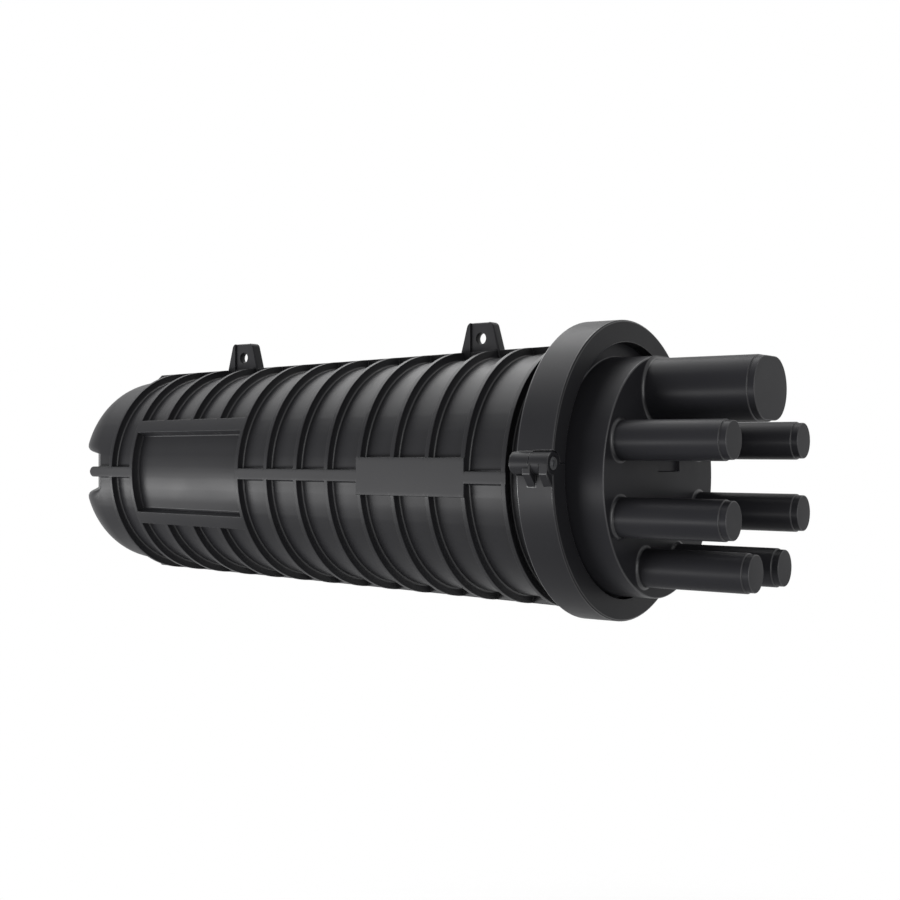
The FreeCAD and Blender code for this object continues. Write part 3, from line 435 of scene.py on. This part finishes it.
@dataclass(frozen=True)
class Metal:
    """Plain metal: a bare colour with fine drawn or turned lines that stretch its highlights."""

    name: str
    dark: str
    light: str
    roughness: float
    line: float = 0.8
    uneven: float = 0.06
    stretch: float = 0.05

    def material(self) -> bpy.types.Material:
        """Build the material.

        Returns:
            A metallic material with long, thin streaks along x in its colour and roughness.
        """
        item, tree = blank(self.name)
        place = add_node(tree, "TexCoord").outputs["Object"]
        stretched = add_node(tree, "Mapping", {"Vector": place, "Scale": (self.stretch, 1.0, 1.0)})
        streak = add_node(tree, "TexNoise", {
            "Vector": stretched.outputs["Vector"], "Scale": per_metre(self.line), "Detail": 3.0})
        tint = add_node(tree, "MixRGB", {
            "Fac": streak.outputs["Fac"], "Color1": linear(self.dark), "Color2": linear(self.light)})
        rough = add_node(tree, "MapRange", {
            "Value": streak.outputs["Fac"],
            "To Min": self.roughness - self.uneven, "To Max": self.roughness + self.uneven})
        shader = add_node(tree, "BsdfPrincipled", {
            "Base Color": tint.outputs["Color"], "Metallic": 1.0, "Roughness": rough.outputs["Result"]})
        add_node(tree, "OutputMaterial", {"Surface": shader.outputs["BSDF"]})
        return item


STAINLESS = Metal("stainless_steel", "#8c8d8f", "#a2a3a5", 0.36)
BRACKET_SHEET = Metal("bent_aluminium_sheet", "#c9cacb", "#d7d8d9", 0.4, line=6.0)

FINISHES: dict[Slot, Moulded | Metal] = {
    Slot.DOME: DOME_PLASTIC, Slot.BASE: BASE_PLASTIC, Slot.CLAMP: CLAMP_PLASTIC, Slot.STEEL: STAINLESS,
    Slot.SEAL: RUBBER, Slot.BRACKET: BRACKET_SHEET, Slot.TRAY: TRAY_PLASTIC, Slot.HOLDER: HOLDER_RUBBER,
    Slot.COVER: COVER_PLASTIC, Slot.STRAP: STRAP,
}


class Dresser:
    """Gives each piece its finish, its body and its place in the frame."""

    def __init__(self) -> None:
        """Build one material for each slot."""
        self.materials = {slot: finish.material() for slot, finish in FINISHES.items()}

    def paint(self, piece: bpy.types.Object, slot: Slot) -> None:
        """Put a slot's material on a piece.

        Args:
            piece: the object to paint.
            slot: the record's slot.
        """
        piece.data.materials.clear()
        piece.data.materials.append(self.materials[slot])

    def add(self, piece: bpy.types.Object, slot: Slot, body: Body, node: str) -> None:
        """Dress a new piece that stands for a node.

        Args:
            piece: the object.
            slot: the record's slot that its finish comes from.
            body: the body that it rides on.
            node: the node that it stands for.
        """
        self.paint(piece, slot)
        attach(piece, body.value)
        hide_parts(node)
        LOG.info("%s stands for %s with %d faces", piece.name, node, len(piece.data.polygons))

    def paint_nodes(self) -> None:
        """Paint every node of the frame with the finish of its own slot."""
        slots = {part["node"]: Slot(part["material_slot"]) for part in frame["record"]["subparts"]}
        for name, node in frame["nodes"].items():
            self.paint(node, slots[name])
            LOG.info("%s takes %s", name, slots[name].value)


@dataclass(frozen=True)
class Step:
    """Section of a raised edge: a fillet at its foot, a drafted wall, a rounded top edge and a flat top."""

    height: float
    rounding: float
    draft: float
    foot: float

    def offsets(self) -> Array:
        """Return the distances inside the foot line at which the section bends."""
        fillet = self.foot * (np.sin(QUARTER_STEPS) - 1)
        top = self.draft + self.rounding * (1 - np.cos(QUARTER_STEPS))
        return np.concatenate([fillet, top])

    def rise(self, inside: Array) -> Array:
        """Work out the height above the ground.

        The fillet is a hollow quarter circle outside the foot line, the wall a straight line over the draft,
        and the top edge a quarter circle over the rounding.

        Args:
            inside: distance inside the foot line; negative outside.

        Returns:
            The height at each point.
        """
        along = np.clip(inside + self.foot, 0, self.foot)
        fillet = self.foot - np.sqrt(self.foot ** 2 - along ** 2)
        wall = np.clip(inside / self.draft, 0, 1) * (self.height - self.rounding - self.foot)
        turn = np.clip((inside - self.draft) / self.rounding, 0, 1)
        return fillet + wall + self.rounding * np.sqrt(1 - (1 - turn) ** 2)

    def share(self, inside: Array) -> Array:
        """Work out the height as a share of the full height.

        Args:
            inside: distance inside the foot line; negative outside.

        Returns:
            A share from 0 to 1 at each point.
        """
        return self.rise(inside) / self.height


@dataclass
class Dome:
    """Ribbed dome with its label frame, label pad, side ribs, end notches, lugs and flange.

    Arcs are degrees; the rooms that keep columns apart and side_turn, where the sides end, are radians;
    foot_reach, foot_height and matt_from are shares.
    """

    mouth_radius: float = 88.5
    closed_radius: float = 78.4
    length: float = 492.0
    wall: float = 3.5
    shoulder: float = 40.0
    rib_width: float = 4.0
    rib_height: float = 6.0
    rib_pitch: float = 30.65
    first_rib: float = 28.2
    second_rib: float = 61.7
    rear_rib: float = 424.55
    pitched_ribs: int = 12
    rib_edge: Step = Step(6.0, 0.5, 0.2, 1.3)
    long_width: float = 8.4
    long_bend: float = 39.0
    spine_slope: float = 14.0
    notch_length: float = 45.4
    notch_height: float = 29.6
    notch_reach: float = 43.2
    notch_edge: Step = Step(12.0, 5.0, 0.3, 0.6)
    notch_span: float = 69.5
    frame_arc: float = 59.5
    recess_arc: float = 44.4
    recess_depth: float = 1.0
    frame_ribs: tuple[int, int] = (8, 12)
    pad_height: float = 27.5
    pad_ribs: tuple[int, int] = (1, 4)
    flange_radius: float = 98.2
    flange_thickness: float = 6.0
    flange_edges: tuple[float, float] = (0.6, 1.0)
    flange_columns: int = 240
    lugs: tuple[tuple[str, float], ...] = (("front_lug", 108.3), ("rear_lug", 352.6))
    plain_columns: int = 18
    shoulder_rows: int = 26
    end_shares: tuple[float, ...] = (0.0, 0.35, 0.7, 0.9)
    recess_room: float = 0.14
    frame_room: float = 0.13
    side_turn: float = 1.0
    foot_reach: float = 0.95
    foot_height: float = 1.5
    matt_from: float = 0.8

    def rib_starts(self) -> Array:
        """Return the depth of each rib's front wall."""
        pitched = self.second_rib + self.rib_pitch * np.arange(self.pitched_ribs)
        return np.concatenate([[self.first_rib], pitched, [self.rear_rib]])

    def cone(self, depth: Array) -> Array:
        """Radius of the plain cone, which narrows evenly from the mouth to the closed end.

        Args:
            depth: distance behind the joint plane.

        Returns:
            The radius at each depth.
        """
        return self.mouth_radius - depth * (self.mouth_radius - self.closed_radius) / self.length

    def base(self, depth: Array) -> Array:
        """Radius between the ribs: the cone, then an arc that is tangent to it and to the flat end.

        Args:
            depth: distance behind the joint plane.

        Returns:
            The radius at each depth.
        """
        start = self.length - self.shoulder
        lean = math.atan((self.mouth_radius - self.closed_radius) / self.length)
        centre = self.cone(np.float64(start)) - self.shoulder / math.cos(lean)
        along = np.clip(depth - start, 0, self.shoulder)
        arc = centre + np.sqrt(self.shoulder ** 2 - along ** 2)
        return np.where(depth > start, np.minimum(arc, self.cone(depth)), self.cone(depth))

    def row_depths(self) -> Array:
        """Return the depths of the grid's rows: every bend of every rib, then the shoulder's arc."""
        inside = self.rib_edge.offsets()
        front = self.rib_starts()[:, None] + inside
        rear = self.rib_starts()[:, None] + self.rib_width - inside
        turn = np.linspace(0, math.pi / 2, self.shoulder_rows)
        arc = self.length - self.shoulder + self.shoulder * np.sin(turn)
        nose = self.length - self.long_bend - self.long_width / 2 * (1 - np.sin(turn[::3]))
        plain = [0.0, self.flange_thickness, self.length - self.notch_length, self.length - self.long_bend]
        depths = np.concatenate([plain, front.ravel(), rear.ravel(), nose, arc])
        return np.unique(np.round(depths, DEPTH_DIGITS))

    def notch_floor(self, depth: Array) -> Array:
        """Distance of the notch's sloping floor from the middle plane.

        Args:
            depth: distance behind the joint plane.

        Returns:
            A straight line from the skin at the notch's start to its reach at the closed end.
        """
        start = self.length - self.notch_length
        top = self.base(np.float64(start))
        return top - (top - self.notch_reach) * (depth - start) / self.notch_length

    def side_half(self, depth: Array) -> Array:
        """Half the width of a side rib, whose nose is a half circle seen from the side.

        Args:
            depth: distance behind the joint plane.

        Returns:
            Half the width at each depth, and zero past the nose.
        """
        half = self.long_width / 2
        into = np.clip(depth - self.length + self.long_bend + half, 0, half)
        return np.sqrt(half ** 2 - into ** 2)

    def spine_top(self, depth: Array) -> Array:
        """Height of the top and bottom ribs: level with the ribs, then sloping down into the shoulder.

        Args:
            depth: distance behind the joint plane.

        Returns:
            The height above the dome's axis, and zero past the slope's end.
        """
        bend = self.length - self.long_bend
        high = self.cone(np.float64(bend)) + self.rib_height
        low = self.cone(np.float64(bend + self.spine_slope)) - self.wall
        slope = high - (high - low) * (depth - bend) / self.spine_slope
        slope = np.where(depth > bend + self.spine_slope, 0.0, slope)
        return np.where(depth > bend, slope, self.cone(depth) + self.rib_height)

    def edge_angles(self, depth: Array) -> tuple[Array, Array, Array, Array, Array]:
        """Angles from the middle of a side at which features end, at each depth.

        Args:
            depth: distance behind the joint plane, one row each.

        Returns:
            The edges of the side rib, of the pad or the notch, of the recess, of the label frame and of the
            top or bottom rib.
        """
        start = self.length - self.notch_length
        reach = np.maximum(self.base(depth), self.notch_reach)
        side = np.arcsin(self.side_half(depth) / reach)
        pad = np.arctan(self.pad_height / 2 / (self.cone(depth) + self.rib_height))
        notch = np.arctan(self.notch_height / 2 / self.notch_floor(np.maximum(depth, start)))
        second = np.where(depth < start, pad, notch)
        recess = np.maximum(math.radians(self.recess_arc / 2), second + self.recess_room)
        border = np.maximum(math.radians(self.frame_arc / 2), recess + self.frame_room)
        span = np.maximum(self.base(depth), self.notch_span)
        spine = math.pi / 2 - np.arcsin(self.long_width / 2 / span)
        return side, second, recess, border, spine

    def quarter(self, depth: Array) -> Array:
        """Angles of the grid's columns over a quarter turn from the middle of a side.

        Args:
            depth: depths of the rows, as a column.

        Returns:
            One row of angles for each depth, with columns at every bend of every edge.
        """
        side, second, recess, border, spine = self.edge_angles(depth)
        start = self.length - self.notch_length
        edge = self.rib_edge.offsets()[None] / self.base(np.minimum(depth, start))
        notch = self.notch_edge.offsets()[None] / self.notch_span
        narrow = np.clip(side / np.abs(edge).max(), 0, 1)
        groups = [np.zeros_like(depth), side - edge[:, ::-1] * narrow,
                  np.where(depth < start, second - edge[:, ::-1], second + notch),
                  recess + edge, border - edge[:, ::-1], spine + edge, np.full_like(depth, math.pi / 2)]
        between = (1, 2, 2, 2, self.plain_columns, 1)
        columns = [groups[0]]
        for group, count in zip(groups[1:], between):
            first, last = columns[-1][:, -1:], group[:, :1]
            columns.append(first + (last - first) * np.linspace(0, 1, count + 2)[None, 1:-1])
            columns.append(group)
        return np.concatenate(columns, axis=1)

    def rib_inside(self, depth: Array) -> Array:
        """Work out how far each depth lies inside the nearest rib.

        Args:
            depth: depths of the rows, as a column.

        Returns:
            A column of distances; negative between the ribs.
        """
        middle = self.rib_starts() + self.rib_width / 2
        return (self.rib_width / 2 - np.abs(depth - middle)).max(1)[:, None]

    def skin_radius(self, depth: Array, angle: Array, near: Array) -> Array:
        """Radius of the outer skin.

        The radius is the base plus the highest of the ribs, long ribs, label frame and pad at that place,
        less the recess and the notches. Each feature is a stepped edge of the distance inside its outline.

        Args:
            depth: distance behind the joint plane, one row each.
            angle: angle from the middle of the side, one row each.
            near: true in the columns of the side that carries the labels.

        Returns:
            The radius at each point.
        """
        base = self.base(depth)
        crest = self.cone(depth) + self.rib_height
        edge = self.rib_edge
        starts = self.rib_starts()
        radius = base + edge.rise(self.rib_inside(depth)) + np.zeros_like(angle)
        side, second, recess, border, spine = self.edge_angles(depth)

        first, last = self.frame_ribs
        frame_front, frame_rear = starts[first], starts[last] + self.rib_width
        along = np.minimum(depth - frame_front, frame_rear - depth)
        inside = np.minimum((border - angle) * base, along)
        radius = np.where(near, np.maximum(radius, base + edge.rise(inside)), radius)
        past = np.maximum(frame_front + self.rib_width - depth, depth - frame_rear + self.rib_width)
        outside = np.maximum((angle - recess) * base, past)
        floor = base - self.recess_depth + (self.rib_height + self.recess_depth) * edge.share(outside)
        in_recess = near & (inside > 0) & (outside < self.rib_width / 2)
        radius = np.where(in_recess, np.minimum(radius, floor), radius)

        cut = (angle - second) * self.notch_span
        notch = np.minimum(self.notch_floor(depth) / np.cos(angle), radius)
        notched = notch + (radius - notch) * self.notch_edge.share(cut)
        radius = np.where(depth > self.length - self.notch_length, notched, radius)

        first, last = self.pad_ribs
        flat_top = crest / np.cos(np.minimum(angle, self.side_turn))
        along = np.minimum(depth - starts[first], starts[last] + self.rib_width - depth)
        pad_inside = np.minimum((second - angle) * base, along)
        padded = base + (flat_top - base) * edge.share(pad_inside)
        radius = np.where(near & (pad_inside > -edge.foot), np.maximum(radius, padded), radius)

        lowest = np.minimum(base, radius)
        sided = lowest + np.maximum(flat_top - lowest, 0) * edge.share((side - angle) * base)
        sided = np.where((side <= 0) | in_recess, radius, sided)
        spine_top = self.spine_top(depth) / np.sin(np.maximum(angle, self.side_turn))
        spined = base + np.maximum(spine_top - base, 0) * edge.share((angle - spine) * base)
        raised = np.maximum(radius, np.where(angle > self.side_turn, spined, sided))
        return np.where(depth >= self.first_rib, raised, radius)

    def skin(self) -> tuple[Array, Array]:
        """Grid of the whole shell: the outer skin from its pole to the mouth, then the cavity to its pole.

        Returns:
            Rows of points that start and end in a pole, and their edge layer.
        """
        depth = self.row_depths()[::-1, None]
        quarter = self.quarter(depth)
        back = math.pi - quarter[:, ::-1]
        turn = np.concatenate([quarter, back[:, 1:], 2 * math.pi - back[:, ::-1][:, 1:],
                               2 * math.pi - quarter[:, ::-1][:, 1:-1]], axis=1)
        angle = np.arccos(np.abs(np.cos(turn)))
        radius = self.skin_radius(depth, angle, np.cos(turn) > 0)
        share = np.array(self.end_shares)[:, None]
        cavity = np.array([(0.0, self.mouth_radius - self.wall),
                           (self.length - self.notch_length - self.wall, self.closed_radius - self.wall),
                           (self.length - self.wall, self.closed_radius - self.shoulder),
                           (self.length - self.wall, 0.0)])
        depths = np.concatenate([np.full_like(share, self.length), depth, cavity[:, :1]])
        radii = np.concatenate([share * radius[:1], radius,
                                np.broadcast_to(cavity[:, 1:], (len(cavity), turn.shape[1]))])
        added = ((len(share), len(cavity)), (0, 0))
        turns = np.pad(turn, added, mode="edge")
        shine = np.pad(self.skin_shine(depth, radius), added, mode="edge")
        across = np.broadcast_to(-depths, radii.shape)
        return np.stack([across, -radii * np.cos(turns), radii * np.sin(turns)], -1), shine

    def skin_shine(self, depth: Array, radius: Array) -> Array:
        """Edge layer of the outer skin: polished fillets at the ribs' feet and a matt closed end.

        Args:
            depth: distance behind the joint plane, one row each.
            radius: radius at each point.

        Returns:
            One on the fillets, falling from zero to minus one over the last of the shoulder's arc.
        """
        edge, inside = self.rib_edge, self.rib_inside(depth)
        raised = radius - self.base(depth)
        foot = (inside > -self.foot_reach * edge.foot) & (inside < edge.draft / 2)
        foot = foot & (raised >= 0) & (raised < self.foot_height * edge.foot)
        faced = (depth - self.length + self.shoulder) / self.shoulder
        return foot - np.clip((faced - self.matt_from) / (1 - self.matt_from), 0, 1)

    def flange(self) -> Array:
        """Flange between a rim about the ring's axis and the shell, which has its own axis.

        Returns:
            A closed grid with rounded outer edges.
        """
        inner = self.mouth_radius - self.wall / 2
        front_edge, rear_edge = self.flange_edges
        outline = rounded([(0.0, inner, 0), (0.0, self.flange_radius, front_edge),
                           (-self.flange_thickness, self.flange_radius, rear_edge),
                           (-self.flange_thickness, inner, 0)])
        outline = np.concatenate([outline, outline[:1]])
        rises = np.where(outline[:, 1] > inner + MERGE_GAP, RING_RISE, 0.0)
        return turned(outline, self.flange_columns, rises)

    def build(self, dresser: Dresser) -> None:
        """Make the shell, its flange and its lugs.

        Args:
            dresser: gives each piece its finish and its body.
        """
        skin, shine = self.skin()
        pieces = [new_piece("dome_shell", [skin], [shine]), new_piece("dome_flange", [self.flange()])]
        for name, depth in self.lugs:
            crest = float(self.cone(np.float64(depth))) + self.rib_height
            pieces.append(new_piece(name, Lug(depth, crest).grids()))
        for piece in pieces:
            dresser.add(piece, Slot.DOME, Body.CLOSURE, "dome_cover")


@dataclass
class Lug:
    """Hanging lug: a thin web with a bore between two thicker posts that lean together."""

    depth: float
    crest: float
    base: float = 40.2
    top: float = 22.0
    height: float = 21.7
    thickness: float = 9.4
    web: float = 6.0
    web_width: float = 18.4
    corner: float = 3.0
    bore_rise: float = 9.8
    bore_radius: float = 4.0
    root: float = 9.5
    overlap: float = 0.5
    post_edge: float = 0.16
    plate_overlap: float = 0.8
    bore_edge: float = 0.5
    rim_edge: float = 0.6
    columns: int = 120

    def post(self, side: int) -> Array:
        """Post on one side of the web.

        Its level sections are rounded rectangles between the web's edge and a leaning outer edge, whose
        top corner is a quarter circle.

        Args:
            side: -1 or 1, the side of the web along x.

        Returns:
            A closed grid whose rows go up the post.
        """
        full = self.height + self.root
        turn = np.radians(np.arange(0, 91, 15))
        level = np.concatenate([[0.0], full - self.corner + self.corner * np.sin(turn)])
        lean = (self.base - self.top) / 2 / full
        into = np.clip(level - full + self.corner, 0, self.corner)
        outer = self.base / 2 - lean * level - (self.corner - np.sqrt(self.corner ** 2 - into ** 2))
        inner = self.web_width / 2 - self.overlap
        outer = np.pad(np.maximum(outer, inner), 1, constant_values=inner)
        half = np.pad(np.full_like(level, self.thickness / 2), 1)
        level = np.pad(level, 1, mode="edge")
        outline = rounded([(0, 0, 0), (1, 0, self.post_edge), (1, 1, self.post_edge), (0, 1, 0)], steps=3)
        across = inner + (outer - inner)[:, None] * outline[None, :, 0]
        depth = half[:, None] * (outline[None, :, 1] * 2 - 1)
        up = np.broadcast_to(level[:, None], across.shape) + self.crest - self.root
        return np.stack([side * across - self.depth, depth, up], -1)

    def plate(self) -> Array:
        """Web plate round the bore: each row is a circle or the plate's outline seen from the bore.

        The outline is a rectangle whose top corners are quarter circles. A row lies at a share of half
        the web's thickness, from -1 on one face to 1 on the other.

        Returns:
            A closed grid that runs through the bore, over both faces and across the edge.
        """
        turn = around(self.columns)
        wide = self.web_width / 2 + self.plate_overlap
        up, down = self.height - self.bore_rise, self.bore_rise + self.root
        cos, sin = np.abs(np.cos(turn)), np.sin(turn)
        reach = np.minimum(wide / np.maximum(cos, TINY),
                           np.where(sin > 0, up, down) / np.maximum(np.abs(sin), TINY))
        aside, above = wide - self.corner, up - self.corner
        arc = np.sqrt(np.clip(self.corner ** 2 - (aside * sin - above * cos) ** 2, 0, None))
        in_corner = (reach * cos > aside) & (reach * sin > above)
        reach = np.where(in_corner, aside * cos + above * sin + arc, reach)
        bore = np.full_like(turn, self.bore_radius)
        lip, rim = bore + self.bore_edge, reach - self.rim_edge
        rows = [(bore, -0.5), (lip, -1.0), (rim, -1.0), (reach, -0.8), (reach, 0.8),
                (rim, 1.0), (lip, 1.0), (bore, 0.5), (bore, -0.5)]
        radius = np.array([row[0] for row in rows])
        side = np.array([row[1] for row in rows])[:, None] * self.web / 2 + np.zeros_like(radius)
        across = radius * np.cos(turn) - self.depth
        high = radius * np.sin(turn) + self.crest + self.bore_rise
        return np.stack([across, side, high], -1)

    def grids(self) -> list[Array]:
        """Return the web and both posts."""
        return [self.plate(), self.post(-1), self.post(1)]


@dataclass
class PortBase:
    """Moulded base: a hub with its flange and face window, six round port tubes and one oval."""

    hub_radius: float = 83.3
    hub_length: float = 39.1
    hub_edge: float = 1.0
    inner_radius: float = 78.0
    back_wall: float = 33.1
    flange_radius: float = 98.2
    flange_thickness: float = 6.0
    seat: tuple[float, float, float] = (91.4, 95.6, 3.0)
    window: tuple[float, float, float, float] = (-5.0, 28.0, 3.6, 25.6)
    window_depth: float = 2.5
    window_rows: tuple[tuple[float, float, float], ...] = (
        (0, 0, 1), (1, -0.3, 1), (1, 0, 0.7), (1, 0, 0.2), (1, 0.25, 0))
    tube_radius: float = 13.2
    tube_length: float = 78.5
    tube_root: float = 2.2
    tube_circle: float = 65.4
    tube_angles: tuple[float, ...] = (22.5, -22.5, -67.5, 157.5, 202.5, 247.5)
    cap_length: float = 4.8
    cap_step: float = 0.8
    edge: float = 0.6
    cap_root: float = 0.25
    sink: float = 0.5
    oval_height: float = 59.2
    oval_radius: float = 22.0
    oval_half_span: float = 7.3
    hub_root: float = 1.0
    root_reach: float = 3.0
    columns: int = 288
    tube_columns: int = 72
    oval_columns: int = 98

    def face(self) -> Array:
        """Rows of the face from the middle of the window's floor to its lip.

        The window is a rectangle seen from its own middle: along each direction its edge lies at the nearer
        of the upright and the level side. A window row is a share of that reach, how far the rectangle has
        grown, and a share of the window's depth.

        Returns:
            The grid's first rows.
        """
        left, right, bottom, top = self.window
        turn = around(self.columns)
        cos, sin = np.cos(turn), np.sin(turn)
        rows = []
        for share, grow, sunk in self.window_rows:
            reach = share * np.minimum(((right - left) / 2 + grow) / np.maximum(np.abs(cos), TINY),
                                       ((top - bottom) / 2 + grow) / np.maximum(np.abs(sin), TINY))
            rows.append(np.stack([np.full_like(turn, self.hub_length - sunk * self.window_depth),
                                  (left + right) / 2 + reach * cos, (bottom + top) / 2 + reach * sin], -1))
        return np.array(rows)

    def hub(self) -> tuple[Array, Array]:
        """Closed grid of the hub: face, rim, side, flange with its seal seat, and the space inside.

        Returns:
            Rows of points that start and end in a pole, and their edge layer.
        """
        inner_seat, outer_seat, seat_depth = self.seat
        side = rounded([(self.hub_length, self.hub_radius - 2 * self.hub_edge, 0),
                        (self.hub_length, self.hub_radius, self.hub_edge),
                        (self.flange_thickness, self.hub_radius, self.hub_root),
                        (self.flange_thickness, self.hub_radius + self.root_reach, 0)])
        flange = np.array([(self.flange_thickness, self.flange_radius), (0.0, self.flange_radius),
                           (0.0, outer_seat), (seat_depth, outer_seat), (seat_depth, inner_seat),
                           (0.0, inner_seat)])
        inside = np.array([(0.0, self.inner_radius), (self.back_wall, self.inner_radius),
                           (self.back_wall, 0.0)])
        face = self.face()
        grid = np.concatenate([face, turned(side, self.columns),
                               turned(flange, self.columns, RING_RISE), turned(inside, self.columns)])
        return grid, np.pad(edge_rows(side), ((len(face), len(flange) + len(inside)), (0, 0)))

    def tube_profile(self, radius: float) -> Array:
        """Profile of a port tube: a hollow fillet at its root, the barrel and a slightly narrower cap.

        Args:
            radius: the barrel's radius.

        Returns:
            Place along the axis and radius of each row.
        """
        root, end = self.hub_length, self.hub_length + self.tube_length
        shoulder, cap = end - self.cap_length, radius - self.cap_step
        return rounded([(root - self.sink, 0.0, 0), (root - self.sink, radius + self.tube_root, 0),
                        (root, radius + self.tube_root, 0), (root, radius, self.tube_root),
                        (shoulder, radius, self.edge), (shoulder, cap, self.cap_root),
                        (end, cap, self.edge), (end, 0.0, 0)])

    def round_tubes(self) -> list[Array]:
        """Return one closed grid for each round port."""
        tube = turned(self.tube_profile(self.tube_radius), self.tube_columns)
        angles = np.radians(self.tube_angles)
        places = self.tube_circle * np.stack([np.zeros_like(angles), np.cos(angles), np.sin(angles)], -1)
        return [tube + place for place in places]

    def oval_tube(self) -> Array:
        """Return the oval port's closed grid: a round tube whose left and right halves are drawn apart."""
        tube = turned(self.tube_profile(self.oval_radius), self.oval_columns, self.oval_height)
        tube[..., 1] += self.oval_half_span * np.sign(np.cos(around(self.oval_columns)))
        return tube

    def build(self, dresser: Dresser) -> None:
        """Make the hub and its ports.

        Args:
            dresser: gives each piece its finish and its body.
        """
        hub, shine = self.hub()
        edges = edge_rows(self.tube_profile(self.tube_radius))
        tubes = self.round_tubes()
        pieces = (new_piece("port_hub", [hub], [shine]),
                  new_piece("round_ports", tubes, [edges] * len(tubes)),
                  new_piece("oval_port", [self.oval_tube()], [edges]))
        for piece in pieces:
            dresser.add(piece, Slot.BASE, Body.CLOSURE, "port_base")


@dataclass
class Clamp:
    """Clamp ring in two halves and its latch lever, which are the solids with softer edges."""

    names: tuple[str, ...] = ("clamp_upper_half", "clamp_lower_half", "latch_lever")
    edge: float = 0.4

    def build(self) -> None:
        """Soften the edges of each half and of the lever."""
        polish = CLAMP_EDGE.material()
        for name in self.names:
            soften(frame["nodes"][name], self.edge, polish)


# Light, floor and camera

@dataclass(frozen=True)
class Lamp:
    """Rectangular soft lamp that looks at the studio's target; its distance and size are metres."""

    name: str
    toward: tuple[float, float, float]
    distance: float
    width: float
    height: float
    power: float

    def build(self, target: Vector) -> None:
        """Hang the lamp.

        Args:
            target: the point that the lamp looks at.
        """
        data = bpy.data.lights.new(self.name, "AREA")
        data.shape = "RECTANGLE"
        data.size, data.size_y = self.width, self.height
        data.energy = self.power
        lamp = bpy.data.objects.new(self.name, data)
        lamp.location = target + Vector(self.toward).normalized() * self.distance
        lamp.rotation_euler = (target - lamp.location).to_track_quat("-Z", "Y").to_euler()
        bpy.context.scene.collection.objects.link(lamp)


LAMPS = (
    Lamp("overhead_box", (-0.48, 0.13, 0.86), 1.6, 1.8, 1.3, 36.0),
    Lamp("low_front_strip", (-0.57, -0.78, -0.23), 1.7, 1.7, 0.3, 44.0),
    Lamp("right_strip", (0.82, -0.57, 0.05), 1.6, 0.25, 1.2, 11.0),
)


@dataclass
class Studio:
    """White room with soft lamps, a pale floor and the camera."""

    target_back: float = 138.8
    target_rise: float = 18.4155
    azimuth: float = 35.12
    elevation: float = 0.1
    distance: float = 1007.7
    lens: float = 52.68
    sensor: float = 36.0
    floor_drop: float = 560.0
    floor_radius: float = 1500.0
    floor_columns: int = 96
    fade: tuple[float, float] = (350.0, 900.0)
    level: float = 0.25

    def target(self) -> Vector:
        """Return the point behind the joint plane that camera and lamps look at, in metres."""
        return Vector((JOINT_X - self.target_back, 0.0, AXIS_Z + self.target_rise)) * MM

    def camera(self) -> None:
        """Place the camera at the photograph's viewing angle."""
        data = bpy.data.cameras.new("camera")
        data.lens, data.sensor_width = self.lens, self.sensor
        turn, up = math.radians(self.azimuth), math.radians(self.elevation)
        back = Vector((math.sin(turn) * math.cos(up), -math.cos(turn) * math.cos(up), math.sin(up)))
        camera = bpy.data.objects.new("camera", data)
        camera.location = self.target() + back * self.distance * MM
        camera.rotation_euler = (-back).to_track_quat("-Z", "Y").to_euler()
        bpy.context.scene.collection.objects.link(camera)
        bpy.context.scene.camera = camera

    def room(self) -> None:
        """White surroundings for what the eye sees, and a plain level for the light on the object."""
        world = bpy.data.worlds.new("room")
        world.use_nodes = True
        tree = world.node_tree
        tree.nodes.clear()
        path = add_node(tree, "LightPath").outputs
        seen = path["Is Camera Ray"]
        for kind in ("Is Glossy Ray", "Is Transmission Ray"):
            seen = add_node(tree, "Math", {0: seen, 1: path[kind]}, operation="MAXIMUM").outputs["Value"]
        strength = add_node(tree, "MapRange", {"Value": seen, "To Min": self.level, "To Max": 1.0})
        light = add_node(tree, "Background", {
            "Color": linear("#ffffff"), "Strength": strength.outputs["Result"]})
        add_node(tree, "OutputWorld", {"Surface": light.outputs["Background"]})
        bpy.context.scene.world = world

    def floor(self) -> None:
        """Pale floor whose rim fades out, so that it keeps the shadow and shows no edge."""
        turn = around(self.floor_columns)
        radius = np.array([0.0, 0.5, 1.0])[:, None] * self.floor_radius
        level = np.full((len(radius), len(turn)), -self.floor_drop)
        floor = new_piece("floor", [np.stack([radius * np.cos(turn), radius * np.sin(turn), level], -1)])
        item, tree = blank("pale_floor")
        place = add_node(tree, "TexCoord").outputs["Object"]
        flat = add_node(tree, "Mapping", {
            "Vector": place, "Location": (-JOINT_X * MM, 0, 0), "Scale": (1, 1, 0)})
        reach = add_node(tree, "VectorMath", {0: flat.outputs["Vector"]}, operation="LENGTH")
        near, far = self.fade
        fade = add_node(tree, "MapRange", {
            "Value": reach.outputs["Value"], "From Min": near * MM, "From Max": far * MM,
            "To Min": 1.0, "To Max": 0.0}, interpolation_type="SMOOTHSTEP")
        pale = add_node(tree, "BsdfDiffuse", {"Color": linear("#f4f4f4")})
        clear = add_node(tree, "BsdfTransparent")
        mix = add_node(tree, "MixShader", {
            0: fade.outputs["Result"], 1: clear.outputs["BSDF"], 2: pale.outputs["BSDF"]})
        add_node(tree, "OutputMaterial", {"Surface": mix.outputs["Shader"]})
        floor.data.materials.append(item)

    def build(self) -> None:
        """Set up the light, the floor and the camera."""
        self.room()
        self.floor()
        self.camera()
        for lamp in LAMPS:
            lamp.build(self.target())
        bpy.context.scene.view_settings.view_transform = "Standard"


def main() -> None:
    """Dress the frame, build the pieces and set up the studio."""
    logging.basicConfig(level=logging.INFO, format="%(message)s")
    dresser = Dresser()
    dresser.paint_nodes()
    Dome().build(dresser)
    PortBase().build(dresser)
    Clamp().build()
    Studio().build()


if __name__ == "__main__":
    main()
